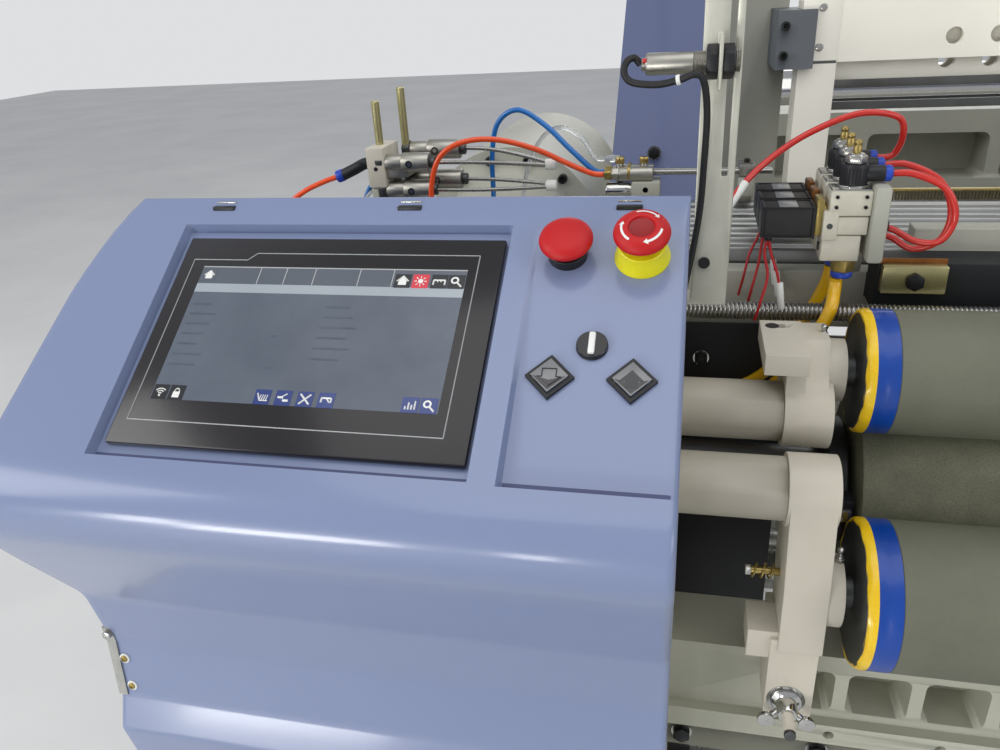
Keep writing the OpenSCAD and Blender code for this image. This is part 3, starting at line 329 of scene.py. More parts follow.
class Look:
    """All finishes of the loom, in a maker's words."""

    COVER = Finish("periwinkle cover", (124, 137, 171), (121, 134, 168), 0.3, 1.5, 0.25, 0.05,
                   coat=0.45)
    # Painted shade: the dark colour of the creases at the feet of the panel's pocket and the
    # switches' recess.
    COVER_SHADE = Finish("painted crease shade", (72, 80, 116), (66, 74, 110), 0.4, 6.0, 0.5)
    PANEL_BLUE = Finish("blue sheet metal", (94, 105, 143), (84, 95, 133), 0.6, 3.0, 0.42,
                        coat=0.15, relief=0.1, relief_scale=160.0)
    CAST = Finish("cream casting paint", (208, 202, 187), (196, 189, 173), 0.7, 9.0, 0.46,
                  0.16, coat=0.1, relief=0.25, relief_scale=120.0, relief_depth=0.0008)
    CAST_SHADE = Finish("shaded casting paint", (180, 174, 160), (168, 162, 148), 0.7, 9.0,
                        0.48, 0.16, relief=0.25, relief_scale=120.0, relief_depth=0.0008)
    CAST_PALE = Finish("pale frame paint", (184, 184, 168), (170, 170, 154), 0.7, 7.0, 0.48,
                       0.16, relief=0.22, relief_scale=110.0, relief_depth=0.0008)
    CAST_GREY = Finish("light grey casting", (178, 178, 166), (160, 161, 150), 0.7, 8.0, 0.45,
                       0.18, relief=0.25, relief_scale=140.0, relief_depth=0.0006)
    BLACK_GLOSS = Finish("black bezel", (25, 24, 28), (20, 19, 23), 0.4, 8.0, 0.24, 0.06,
                         coat=0.15)
    BLACK = Finish("black plastic", (27, 28, 31), (20, 21, 23), 0.5, 30.0, 0.42, 0.15,
                   relief=0.15, relief_scale=900.0)
    COIL = Finish("coil moulding", (44, 42, 42), (34, 33, 33), 0.6, 40.0, 0.5, 0.15,
                  relief=0.2, relief_scale=1200.0)
    RED = Finish("red button", (190, 5, 12), (178, 4, 10), 0.5, 20.0, 0.5, 0.1)
    RED_DEEP = Finish("deep red", (150, 16, 22), (132, 12, 18), 0.5, 20.0, 0.4, 0.1)
    YELLOW = Finish("yellow collar", (236, 228, 18), (224, 214, 12), 0.5, 30.0, 0.4, 0.1,
                    coat=0.1)
    WHITE = Finish("white print", (232, 234, 230), (220, 222, 218), 0.4, 40.0, 0.4, 0.08)
    KEY_GREY = Finish("key grey", (128, 130, 132), (108, 110, 112), 0.5, 40.0, 0.28, 0.1,
                      coat=0.4)
    KEY_DARK = Finish("key shade", (52, 50, 54), (42, 41, 44), 0.5, 40.0, 0.3, 0.1, coat=0.4)
    LINE = Finish("pale inset line", (176, 180, 180), (160, 164, 164), 0.4, 40.0, 0.35, 0.08)
    SCREEN = Finish("display glow", (92, 100, 112), (74, 82, 95), 1.0, 9.0, 0.3, 0.06,
                    coat=0.25, glow=0.12)
    SCREEN_PALE = Finish("display strip", (150, 158, 164), (138, 146, 154), 0.8, 9.0, 0.22,
                         0.06, coat=0.5, glow=0.22)
    SCREEN_DARK = Finish("display tab", (84, 90, 100), (72, 79, 90), 0.8, 9.0, 0.24, 0.06,
                         coat=0.5, glow=0.15)
    SCREEN_INK = Finish("display ink", (70, 78, 92), (84, 92, 106), 0.8, 60.0, 0.3, 0.06,
                        glow=0.1)
    ICON_NAVY = Finish("icon navy", (38, 56, 116), (30, 46, 100), 0.5, 40.0, 0.25, 0.06,
                       coat=0.4, glow=0.2)
    ICON_RED = Finish("icon red", (196, 54, 66), (180, 44, 58), 0.5, 40.0, 0.25, 0.06,
                      coat=0.4, glow=0.25)
    ICON_BLACK = Finish("icon black", (34, 36, 40), (28, 30, 34), 0.5, 40.0, 0.25, 0.06,
                        coat=0.4)
    SLEY = Finish("drawn aluminium", (158, 160, 158), (136, 138, 136), 0.5, 12.0, 0.34, 0.2,
                  metallic=0.85, relief=0.2, relief_scale=500.0, axis=Axis.ALONG_X)
    STEEL = Finish("ground steel", (168, 168, 164), (146, 146, 142), 0.5, 18.0, 0.28, 0.2,
                   metallic=0.95, relief=0.12, relief_scale=600.0, axis=Axis.ROUND_X)
    STEEL_DARK = Finish("oiled steel", (96, 98, 98), (76, 78, 78), 0.7, 14.0, 0.42, 0.25,
                        metallic=0.85, relief=0.2, relief_scale=300.0)
    CHROME = Finish("chrome", (198, 198, 196), (176, 176, 174), 0.4, 30.0, 0.14, 0.12,
                    metallic=1.0)
    NICKEL = Finish("satin nickel", (176, 174, 166), (150, 148, 140), 0.5, 40.0, 0.36, 0.18,
                    metallic=0.95, relief=0.1, relief_scale=500.0)
    BRASS = Finish("dull brass", (176, 156, 96), (150, 130, 76), 0.6, 40.0, 0.32, 0.2,
                   metallic=0.9, relief=0.15, relief_scale=700.0)
    BRASS_ROD = Finish("satin brass rod", (190, 182, 134), (166, 158, 112), 0.5, 40.0, 0.3,
                       0.2, metallic=0.85, relief=0.15, relief_scale=500.0, axis=Axis.ALONG_Z)
    COPPER = Finish("heat tinted brass", (150, 98, 52), (112, 72, 40), 0.7, 80.0, 0.34, 0.2,
                    metallic=0.9)
    REED = Finish("reed dents", (122, 110, 80), (86, 76, 54), 0.8, 160.0, 0.42, 0.2,
                  metallic=0.7, relief=0.4, relief_scale=500.0)
    VALVE = Finish("valve casting", (218, 214, 197), (200, 196, 180), 0.6, 40.0, 0.36, 0.18,
                   metallic=0.2, relief=0.25, relief_scale=420.0)
    TUBE_ORANGE = Finish("orange tube", (238, 84, 34), (222, 66, 24), 0.5, 25.0, 0.22, 0.08,
                         coat=0.4)
    TUBE_BLUE = Finish("blue tube", (24, 112, 190), (18, 96, 172), 0.5, 25.0, 0.22, 0.08,
                       coat=0.4)
    TUBE_CLEAR = Finish("clear tube", (224, 228, 226), (210, 214, 212), 0.4, 25.0, 0.12, 0.06,
                        clear=0.75, coat=0.3)
    TUBE_RED = Finish("red tube", (206, 44, 34), (186, 30, 26), 0.5, 25.0, 0.2, 0.08, coat=0.4)
    TUBE_YELLOW = Finish("thick yellow tube", (240, 190, 22), (226, 166, 14), 0.6, 30.0, 0.24,
                         0.1, coat=0.4)
    COLLAR_BLUE = Finish("blue release ring", (34, 70, 180), (28, 58, 160), 0.5, 60.0, 0.34,
                         0.1)
    CABLE = Finish("black cable", (28, 29, 31), (22, 23, 25), 0.5, 40.0, 0.5, 0.15,
                   relief=0.1, relief_scale=900.0)
    EMERY = Finish("emery cloth", (126, 127, 106), (111, 112, 92), 0.8, 40.0, 0.75, 0.15,
                   relief=0.7, relief_scale=700.0, relief_depth=0.0006, grit=0.5)
    RUBBER = Finish("grey green rubber", (110, 112, 96), (99, 101, 86), 0.8, 14.0, 0.62,
                    0.15, relief=0.5, relief_scale=420.0, relief_depth=0.0005, grit=0.12)
    TAPE = Finish("blue tape", (0, 66, 160), (0, 56, 144), 0.6, 30.0, 0.34, 0.12, coat=0.2,
                  relief=0.35, relief_scale=90.0, relief_depth=0.0006)
    FILM = Finish("yellow film", (246, 206, 24), (234, 186, 14), 0.8, 60.0, 0.28, 0.12,
                  coat=0.3, relief=0.25, relief_scale=150.0, relief_depth=0.0008)
    HEALD = Finish("pale anodised bar", (250, 247, 234), (242, 239, 226), 0.5, 10.0, 0.36,
                   0.12, relief=0.1, relief_scale=500.0, axis=Axis.ALONG_X)
    RAIL = Finish("rail steel", (112, 114, 112), (90, 92, 90), 0.6, 30.0, 0.36, 0.2,
                  metallic=0.8, axis=Axis.ALONG_X)
    GUIDE = Finish("dark guide block", (92, 97, 102), (80, 85, 90), 0.6, 40.0, 0.5, 0.15,
                   relief=0.15, relief_scale=500.0)
    BOLT = Finish("blackened bolt", (52, 53, 54), (36, 37, 38), 0.7, 90.0, 0.4, 0.2,
                  metallic=0.7)
    ZINC = Finish("zinc plate", (186, 186, 182), (160, 160, 154), 0.6, 70.0, 0.26, 0.2,
                  metallic=0.95)
    STRIP = Finish("plated strip", (204, 203, 190), (186, 185, 172), 0.6, 40.0, 0.34, 0.16,
                   metallic=0.35, relief=0.1, relief_scale=500.0)
    # Dark paint: the temple beam's own colour at its front, and painted shade on the sheets inside
    # the frames.
    DARK_PAINT_AND_SHADE = Finish("dark paint and painted shade", (34, 36, 38), (27, 29, 31), 0.6, 8.0, 0.55, 0.15)
    MOTOR = Finish("motor enamel", (112, 122, 136), (98, 108, 122), 0.6, 10.0, 0.42, 0.15,
                   relief=0.25, relief_scale=160.0)
    BELT = Finish("belt rubber", (34, 35, 37), (26, 27, 29), 0.6, 40.0, 0.6, 0.15,
                  relief=0.2, relief_scale=500.0)
    WIRE_RED = Finish("red wire", (188, 34, 40), (170, 26, 32), 0.5, 60.0, 0.4, 0.1)


def smooth(points: Sequence[Point], steps: int = 7) -> list[Vector]:
    """Draws a smooth line through given points."""
    line: list[Vector] = []
    spots = [Vector(point) for point in points]
    last = len(spots) - 1
    for index in range(last):
        a, b = spots[max(index - 1, 0)], spots[index]
        c, d = spots[index + 1], spots[min(index + 2, last)]
        for step in range(steps):
            t = step / steps
            line.append(0.5 * (2 * b + (c - a) * t + (2 * a - 5 * b + 4 * c - d) * t * t
                               + (3 * b - a - 3 * c + d) * t * t * t))
    line.append(spots[-1])
    return line


class Form:
    """One piece in the making: a bmesh in millimetres in the machine's frame."""

    def __init__(self, name: str, place: Optional[Matrix] = None) -> None:
        """Starts an empty piece.

        Args:
            name: the piece's name.
            place: where its own axes lie in the machine's frame.
        """
        self.name = name
        self.place = place or Matrix.Identity(4)
        self.bm = bmesh.new()
        self.finishes: list[Finish] = []

    def take(self, part: bmesh.types.BMesh, finish: Finish, smooth: bool = True) -> None:
        """Joins a shape to the piece and frees it."""
        if finish not in self.finishes:
            self.finishes.append(finish)
        for face in part.faces:
            face.material_index = self.finishes.index(finish)
            face.smooth = smooth
        bmesh.ops.transform(part, matrix=self.place, verts=part.verts)
        mesh = bpy.data.meshes.new("part")
        part.to_mesh(mesh)
        part.free()
        self.bm.from_mesh(mesh)
        bpy.data.meshes.remove(mesh)

    @staticmethod
    def soften(part: bmesh.types.BMesh, edge: float, segments: int = 2,
               angle: float = 30.0, least: float = 0.0) -> None:
        """Rounds the edges of a shape that are sharper and longer than some limits."""
        sharp = [e for e in part.edges if len(e.link_faces) == 2 and e.calc_length() > least
                 and e.calc_face_angle(0.0) > math.radians(angle)]
        bmesh.ops.bevel(part, geom=sharp, offset=edge, offset_type="OFFSET", segments=segments,
                        profile=0.5, affect="EDGES", clamp_overlap=True, material=-1)

    def box(self, low: Point, high: Point, finish: Finish, edge: float = 0.6) -> None:
        """Adds a block between two corners, its edges rounded."""
        part = bmesh.new()
        bmesh.ops.create_cube(part, size=1.0)
        size = Vector(high) - Vector(low)
        bmesh.ops.scale(part, vec=size, verts=part.verts)
        bmesh.ops.translate(part, vec=(Vector(low) + Vector(high)) / 2, verts=part.verts)
        if edge:
            self.soften(part, min(edge, 0.45 * min(size)))
        self.take(part, finish)

    def rod(self, start: Point, end: Point, radius: float, finish: Finish, sides: int = 32,
            edge: float = 0.0, end_radius: Optional[float] = None, turn: float = 0.0) -> None:
        """Adds a round or many-sided bar between two points.

        Args:
            start: the middle of its first end.
            end: the middle of its second end.
            radius: its radius over the corners.
            finish: its finish.
            sides: the number of its sides.
            edge: the radius of its end edges.
            end_radius: the second end's radius, where it tapers.
            turn: degrees that it is turned on its axis.
        """
        part = bmesh.new()
        run = Vector(end) - Vector(start)
        bmesh.ops.create_cone(part, cap_ends=True, segments=sides, radius1=radius,
                              radius2=radius if end_radius is None else end_radius,
                              depth=run.length)
        if edge:
            self.soften(part, edge, angle=50.0 if sides > 8 else 30.0)
        aim = run.to_track_quat("Z", "Y").to_matrix().to_4x4()
        middle = Matrix.Translation((Vector(start) + Vector(end)) / 2)
        bmesh.ops.transform(part, matrix=middle @ aim @ Matrix.Rotation(math.radians(turn), 4, "Z"),
                            verts=part.verts)
        self.take(part, finish)

    def lathe(self, base: Point, aim: Point, profile: Sequence[Pair], finish: Finish,
              sides: int = 48) -> None:
        """Adds a turned shape.

        Args:
            base: the point from which heights count.
            aim: the direction of its axis.
            profile: radius and height at each corner, from one end of the axis to the other.
            finish: its finish.
            sides: the number of steps round.
        """
        part = bmesh.new()
        corners = [part.verts.new((radius, 0.0, height)) for radius, height in profile]
        edges = [part.edges.new(pair) for pair in zip(corners, corners[1:])]
        bmesh.ops.spin(part, geom=corners + edges, cent=(0, 0, 0), axis=UP,
                       angle=math.tau, steps=sides, use_merge=True)
        bmesh.ops.remove_doubles(part, verts=part.verts, dist=0.001)
        bmesh.ops.recalc_face_normals(part, faces=part.faces)
        turn = Vector(aim).to_track_quat("Z", "Y").to_matrix().to_4x4()
        bmesh.ops.transform(part, matrix=Matrix.Translation(base) @ turn, verts=part.verts)
        self.take(part, finish)

    def prism(self, outline: Sequence[Point], run: Point, finish: Finish,
              edge: float = 0.0) -> None:
        """Adds a flat outline drawn out along a vector."""
        part = bmesh.new()
        face = part.faces.new([part.verts.new(point) for point in outline])
        grown = bmesh.ops.extrude_face_region(part, geom=[face])
        bmesh.ops.translate(part, vec=run, verts=[v for v in grown["geom"]
                                                  if isinstance(v, bmesh.types.BMVert)])
        bmesh.ops.recalc_face_normals(part, faces=part.faces)
        if edge:
            self.soften(part, edge)
        self.take(part, finish)

    def tube(self, points: Sequence[Point], radius: float, finish: Finish,
             sides: int = 4) -> None:
        """Adds a bent tube whose middle runs smoothly through its points."""
        line = smooth(points)
        curve = bpy.data.curves.new("line", "CURVE")
        curve.dimensions = "3D"
        curve.bevel_depth = radius
        curve.bevel_resolution = sides
        curve.use_fill_caps = True
        spline = curve.splines.new("POLY")
        spline.points.add(len(line) - 1)
        for spot, point in zip(spline.points, line):
            spot.co = (*point, 1.0)
        holder = bpy.data.objects.new("line", curve)
        bpy.context.collection.objects.link(holder)
        mesh = bpy.data.meshes.new_from_object(
            holder.evaluated_get(bpy.context.evaluated_depsgraph_get()))
        bpy.data.objects.remove(holder)
        bpy.data.curves.remove(curve)
        part = bmesh.new()
        part.from_mesh(mesh)
        bpy.data.meshes.remove(mesh)
        bmesh.ops.remove_doubles(part, verts=part.verts, dist=0.001)
        self.take(part, finish)

    def bolt(self, at: Point, aim: Point, size: float, finish: Finish = Look.BOLT,
             washer: bool = True, turn: float = 0.0) -> None:
        """Adds a hexagon bolt head on its washer.

        Args:
            at: the point on the surface under the head.
            aim: the direction in which the head stands out.
            size: the bolt's thread diameter.
            finish: the head's finish.
            washer: whether a plain washer lies under it.
            turn: degrees that the head is turned.
        """
        base, out = Vector(at), Vector(aim).normalized()
        if washer:
            self.rod(base, base + out * size * 0.18, size * 1.05, Look.ZINC, 24)
            base = base + out * size * 0.18
        self.rod(base, base + out * size * 0.65, size * 0.92, finish, 6, size * 0.06, turn=turn)

    def socket_screw(self, at: Point, aim: Point, size: float,
                     finish: Finish = Look.BOLT) -> None:
        """Adds a socket head screw with its hexagon hole."""
        height, inner = size, size * 0.42
        self.lathe(at, aim, [
            (0.0, 0.0), (size * 0.78, 0.0), (size * 0.78, height - 0.4),
            (size * 0.7, height), (inner, height)], finish, 24)
        self.lathe(at, aim, [(inner, height), (inner, height * 0.45), (0.0, height * 0.45)],
                   Look.BLACK, 6)

    def model_copy(self, node: str, finish: Finish, edge: float = 0.0, segments: int = 2,
                   least: float = 0.0,
                   choose: Optional[Callable[[Vector], Optional[Finish]]] = None) -> None:
        """Adds a merged copy of a CAD node with its longer edges rounded.

        Args:
            node: the CAD node's name.
            finish: the copy's finish.
            edge: the rounding's width, or none.
            segments: the rounding's steps.
            least: the shortest edge that is rounded.
            choose: gives another finish for some places of a face's middle.
        """
        part = bmesh.new()
        part.from_mesh(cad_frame()["nodes"][node].data)
        bmesh.ops.scale(part, vec=(1 / METRES,) * 3, verts=part.verts)
        bmesh.ops.remove_doubles(part, verts=part.verts, dist=0.01)
        bmesh.ops.dissolve_limit(part, angle_limit=math.radians(1.5), verts=part.verts,
                                 edges=part.edges)
        if edge:
            self.soften(part, edge, segments, 32.0, least)
        start = len(self.bm.faces)
        self.take(part, finish)
        if not choose:
            return
        self.bm.faces.ensure_lookup_table()
        for face in self.bm.faces[start:]:
            other = choose(face.calc_center_median())
            if other:
                if other not in self.finishes:
                    self.finishes.append(other)
                face.material_index = self.finishes.index(other)

    def finish_off(self, body: Optional[str], slot: Slot, nodes: Iterable[str] = (),
                   sharp: float = 38.0) -> bpy.types.Object:
        """Turns the form into a Blender object that rides on a body.

        Args:
            body: the body that carries the piece, or None to leave it on no body, as for a piece
                that bends between two.
            slot: the record's slot of its main finish; not used.
            nodes: the CAD nodes that it replaces.
            sharp: the angle over which an edge stays sharp.

        Returns:
            The finished object.
        """
        bmesh.ops.scale(self.bm, vec=(METRES,) * 3, verts=self.bm.verts)
        mesh = bpy.data.meshes.new(self.name)
        self.bm.to_mesh(mesh)
        self.bm.free()
        mesh.set_sharp_from_angle(angle=math.radians(sharp))
        for finish in self.finishes:
            mesh.materials.append(finish.material())
        piece = bpy.data.objects.new(self.name, mesh)
        bpy.context.scene.collection.objects.link(piece)
        if body:
            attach(piece, body)
        nodes = list(nodes)
        if nodes:
            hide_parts(*nodes)
        log.info("%s: %d faces on %s", self.name, len(mesh.polygons), body)
        return piece


_FRAME: dict = {}


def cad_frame() -> dict:
    """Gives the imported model, loaded once."""
    if not _FRAME:
        _FRAME.update(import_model())
    return _FRAME


@dataclass
class Studio:
    """Camera, lamps, floor and backdrop."""

    eye: Point = (-1.1484, -1.0689, 1.3096)
    lens: float = 28.8
    right: Point = (0.975, 0.215, -0.056)
    upward: Point = (-0.044, 0.432, 0.901)
    floor: tuple[int, int, int] = (214, 215, 214)

    def camera(self) -> None:
        """Stands the camera where the photograph was taken."""
        data = bpy.data.cameras.new("viewpoint")
        data.lens = self.lens
        data.sensor_width = 36.0
        data.clip_start = 0.05
        data.clip_end = 60.0
        right = Vector(self.right).normalized()
        back = right.cross(Vector(self.upward)).normalized()
        upward = back.cross(right)
        turn = Matrix((right, upward, back)).transposed().to_4x4()
        camera = bpy.data.objects.new("viewpoint", data)
        camera.matrix_world = Matrix.Translation(self.eye) @ turn
        bpy.context.scene.collection.objects.link(camera)
        bpy.context.scene.camera = camera

    def lamp(self, name: str, at: Point, target: Point, size: Pair, watts: float,
             tint: tuple[float, float, float] = (1.0, 0.99, 0.97)) -> None:
        """Hangs one soft rectangular lamp that looks at a point."""
        data = bpy.data.lights.new(name, "AREA")
        data.shape = "RECTANGLE"
        data.size, data.size_y = size
        data.energy = watts
        data.color = tint
        lamp = bpy.data.objects.new(name, data)
        lamp.location = at
        lamp.rotation_euler = (Vector(target) - Vector(at)).to_track_quat("-Z", "Y").to_euler()
        bpy.context.scene.collection.objects.link(lamp)

    def lamps(self) -> None:
        """Hangs the soft lamps over the loom."""
        self.lamp("hall lamp", (-0.6, -1.2, 4.6), (-1.0, 0.0, 0.8), (5.0, 3.0), 62)
        self.lamp("left window", (-5.2, -2.6, 3.0), (-1.2, -0.4, 0.9), (3.0, 2.4), 74)
        self.lamp("right fill", (3.6, -3.4, 2.8), (-0.3, -0.2, 0.9), (3.0, 2.2), 50)
        self.lamp("back lamp", (0.0, 4.2, 3.4), (0.0, 0.3, 0.8), (4.0, 2.0), 60)
        for index, (x, y, z, wide, watts) in enumerate((
                (-3.14, -2.94, 0.72, 0.24, 5), (-2.62, -3.12, 0.48, 0.80, 17),
                (-1.69, -3.40, 0.52, 0.18, 4))):
            self.lamp(f"low strip {index}", (x, y, z), (-1.38, -0.68, 0.99), (wide, 0.36), watts)

    def surroundings(self) -> None:
        """Lays the pale floor and the plain pale surround."""
        scene = bpy.context.scene
        scene.view_settings.view_transform = "Standard"
        world = bpy.data.worlds.new("plain hall")
        world.use_nodes = True
        world.node_tree.nodes.clear()
        tree = Tree(world.node_tree)
        soft = tree.add("ShaderNodeBackground", {"Color": (0.93, 0.95, 1.0, 1.0),
                                                 "Strength": 0.52})
        pale = tree.add("ShaderNodeBackground", {"Color": linear(222, 224, 226),
                                                 "Strength": 1.0})
        path = tree.add("ShaderNodeLightPath")
        seen = tree.add("ShaderNodeMath", {0: path.outputs["Is Camera Ray"],
                                           1: path.outputs["Is Transmission Ray"]},
                        operation="MAXIMUM")
        mix = tree.add("ShaderNodeMixShader", {0: seen.outputs[0], 1: soft.outputs[0],
                                               2: pale.outputs[0]})
        out = tree.add("ShaderNodeOutputWorld")
        tree.join(mix.outputs[0], out.inputs["Surface"])
        scene.world = world
        part = bmesh.new()
        bmesh.ops.create_grid(part, x_segments=1, y_segments=1, size=14.0)
        bmesh.ops.translate(part, vec=(0, 0, -0.0005), verts=part.verts)
        mesh = bpy.data.meshes.new("floor")
        part.to_mesh(mesh)
        part.free()
        floor = bpy.data.objects.new("floor", mesh)
        scene.collection.objects.link(floor)
        mesh.materials.append(Finish("hall floor", self.floor, (232, 232, 230), 0.6, 1.2, 0.55,
                                     0.2).material())

    def build(self) -> None:
        """Sets up everything round the loom."""
        self.camera()
        self.lamps()
        self.surroundings()


CONSOLE_AT: Point = (-1420.0, -560.0, 1085.0)
SLOPE = math.radians(33.5)


def console_place() -> Matrix:
    """Gives the sloped face's own axes: X along the loom, Y up the slope, Z out of it."""
    return Matrix.Translation(CONSOLE_AT) @ Matrix.Rotation(SLOPE, 4, "X")


def rounded(corners: Sequence[tuple[float, float, float]], steps: int = 6) -> list[Pair]:
    """Rounds the corners of an open line.

    Args:
        corners: two coordinates and the radius of each corner.
        steps: the number of chords in each arc.

    Returns:
        The line's points.
    """
    line: list[Pair] = []
    for index, (first, second, radius) in enumerate(corners):
        here = Vector((first, second))
        if not radius or index in (0, len(corners) - 1):
            line.append((first, second))
            continue
        back = (Vector(corners[index - 1][:2]) - here).normalized()
        ahead = (Vector(corners[index + 1][:2]) - here).normalized()
        half = back.angle(ahead) / 2
        centre = here + (back + ahead).normalized() * radius / math.sin(half)
        start = here + back * radius / math.tan(half) - centre
        end = here + ahead * radius / math.tan(half) - centre
        sweep = start.angle_signed(end)
        for step in range(steps + 1):
            turned = start.copy()
            turned.rotate(Matrix.Rotation(-sweep * step / steps, 2))
            line.append(tuple(centre + turned))
    return line


@dataclass
class ConsoleCover:
    """Moulded cover over one front corner, as one shell from its profile and outline."""

    wall: float = 4.0
    left: float = -250.0
    right: float = 275.0
    back: float = 120.0
    flange: float = 30.0
    corner: float = 5.0
    closed_above: float = -100.0
    profile: Sequence[tuple[float, float, float]] = (
        (120.0, 30.0, 0), (120.0, 79.2, 3), (-136.6, -90.4, 45), (-97, -154, 30),
        (-40, -246, 60), (-28, -310, 60), (-35, -374, 30), (-49, -408, 14), (-42, -448, 40),
        (-30, -665, 0))
    outline: Sequence[Pair] = (
        (95, -190), (78, -199), (68, -209), (55, -218), (39, -224), (22, -229), (0, -231),
        (-60, -236), (-110, -244), (-170, -250), (-700, -250))
    pocket: tuple[float, float, float, float] = (-144.0, 138.0, -107.0, 107.0)
    pocket_depth: float = 8.0
    recess: tuple[float, float, float] = (159.5, -108.0, 106.0)
    clips: Sequence[float] = (-116.5, 51.6, 229.2)
    screws: Sequence[Point] = ((-235.2, -30.0, -331.0), (-233.4, -33.4, -362.5))
    strap_at: float = -249.7
    mirrored: bool = False

    def left_at(self, height: float) -> float:
        """Gives the left edge's place at a height over the console's middle."""
        for (z0, x0), (z1, x1) in zip(self.outline, self.outline[1:]):
            if z1 <= height <= z0:
                return x0 + (x1 - x0) * (height - z0) / (z1 - z0)
        return self.outline[0][1]

    def spots(self) -> list[Vector]:
        """Gives the profile's points, close enough together for an even skin."""
        corners = [Vector(spot) for spot in rounded(self.profile, 8)]
        line: list[Vector] = []
        for near, far in zip(corners, corners[1:]):
            count = max(1, int((far - near).length / 24))
            line += [near.lerp(far, step / count) for step in range(count)]
        return line + [corners[-1]]

    def inner_edge(self, closed: bool) -> list[Vector]:
        """Gives the inner edge of a side wall, from the foot to the back.

        Args:
            closed: whether the wall reaches the back over the nose.
        """
        flats = [Vector(spot[:2]) for spot in self.profile[1:]]
        ways = [Vector((near.y - far.y, far.x - near.x)).normalized()
                for near, far in zip(flats, flats[1:])]
        edge = []
        for spot, before, after in zip(flats, ways[:1] + ways, ways + ways[-1:]):
            half = (before + after).normalized()
            edge.append(spot + half * self.flange / half.dot(before))
        if closed:
            return edge[:1:-1] + [Vector((edge[1].x, self.closed_above)),
                                  Vector((self.back, self.closed_above)),
                                  Vector((self.back, 30.0))]
        top = edge[0]
        return edge[:0:-1] + [Vector((top.x - (top.y - 30.0) / math.tan(SLOPE), 30.0))]

    def skin(self) -> bmesh.types.BMesh:
        """Makes the outer sheet with its rounded side edges, and a wall at each side."""
        part = bmesh.new()
        line = self.spots()
        last = len(line) - 1
        runs = [line[min(k + 1, last)] - line[max(k - 1, 0)] for k in range(last + 1)]
        inward = [Vector((-run.y, run.x)).normalized() for run in runs]
        small = [0.3 if spot.y > 70 else 1.0 for spot in line]
        size = self.corner
        turn = [(size + 2, 0.0)] + [(size - size * math.sin(math.radians(a)),
                                     size - size * math.cos(math.radians(a)))
                                    for a in (0, 22.5, 45, 67.5, 90)] + [(0.0, size + 2)]
        stations = [(self.left, 1, inset, depth) for inset, depth in reversed(turn)] \
            + [(self.right, -1, inset, depth) for inset, depth in turn]
        column = [part.verts.new((0.0, *spot)) for spot in line]
        edges = [part.edges.new(pair) for pair in zip(column, column[1:])]
        first = column
        for number, (side, way, inset, depth) in enumerate(stations):
            if number:
                rows = {vert.co.to_tuple(): row for row, vert in enumerate(column)}
                grown = bmesh.ops.extrude_edge_only(part, edges=edges)["geom"]
                column = sorted((item for item in grown if isinstance(item, bmesh.types.BMVert)),
                                key=lambda vert: rows[vert.co.to_tuple()])
                edges = [part.edges.get(pair) for pair in zip(column, column[1:])]
            for vert, spot, into, scale in zip(column, line, inward, small):
                at = spot + into * depth * scale
                vert.co = (side + way * inset * scale, at.x, at.y)
        for ends, closed in ((first, True), (column, False)):
            rim = [part.verts.new((ends[0].co.x, *spot)) for spot in self.inner_edge(closed)]
            part.faces.new(list(ends) + rim)
        bmesh.ops.recalc_face_normals(part, faces=part.faces)
        if sum(face.normal.z for face in part.faces if abs(face.normal.x) < 0.1) < 0:
            bmesh.ops.reverse_faces(part, faces=part.faces)
        return part

    @staticmethod
    def cut(part: bmesh.types.BMesh, faces: list[bmesh.types.BMFace], spot: Point,
            normal: Point) -> None:
        """Cuts edges into some faces where a plane crosses them."""
        geom = faces + list({e for f in faces for e in f.edges}) \
            + list({v for f in faces for v in f.verts})
        bmesh.ops.bisect_plane(part, geom=geom, plane_co=spot, plane_no=normal, dist=0.01)

    def shape_left(self, part: bmesh.types.BMesh) -> None:
        """Draws the left side in to its outline."""
        for height, _ in self.outline[1:-1]:
            faces = [f for f in part.faces if max(v.co.x for v in f.verts) < self.left + 0.5]
            self.cut(part, faces, (0, 0, height), UP)
        for vert in part.verts:
            if vert.co.x < self.left + self.corner + 2.5:
                vert.co.x += self.left_at(vert.co.z) - self.left

    def sink(self, part: bmesh.types.BMesh) -> None:
        """Presses the panel's pocket and the switches' stepped recess into the slope."""
        along = Vector((0, math.cos(SLOPE), math.sin(SLOPE)))
        up = Vector((0, -math.sin(SLOPE), math.cos(SLOPE)))
        left, right, low, high = self.pocket
        side, foot, head = self.recess
        over = Vector(RIGHT)
        lines = [(over, x) for x in (left - 4, left - 2.5, left, left + 2, right - 2, right,
                                     right + 2.5, side - 1.5, side, side + 2.5, side + 4)]
        lines += [(along, q) for q in (foot - 4, foot - 2.5, foot, foot + 2, low - 4, low - 2.5,
                                       low, low + 2, high - 2, high, high + 2.5, high + 4)]
        for normal, reach in lines:
            faces = [f for f in part.faces
                     if all(-self.corner - 2.2 < v.co.dot(up) < 0.1 for v in f.verts)
                     and len(f.verts) < 12]
            self.cut(part, faces, normal * reach, normal)
        for vert in part.verts:
            q, out = vert.co.dot(along), vert.co.dot(up)
            if not -self.corner - 2.2 < out < 0.1:
                continue
            if left - 0.1 <= vert.co.x <= right + 0.1 and low - 0.1 <= q <= high + 0.1:
                vert.co -= up * self.pocket_depth
            elif vert.co.x >= side + 2.4 and foot - 0.1 <= q <= head + 0.1:
                vert.co -= up * self.pocket_depth * (head - q) / (head - foot)

    @staticmethod
    def on_slope(spot: Point) -> Point:
        """Gives the cover's own place of a point given along and over the slope."""
        x, q, h = spot
        return (x, q * math.cos(SLOPE) - h * math.sin(SLOPE),
                q * math.sin(SLOPE) + h * math.cos(SLOPE))

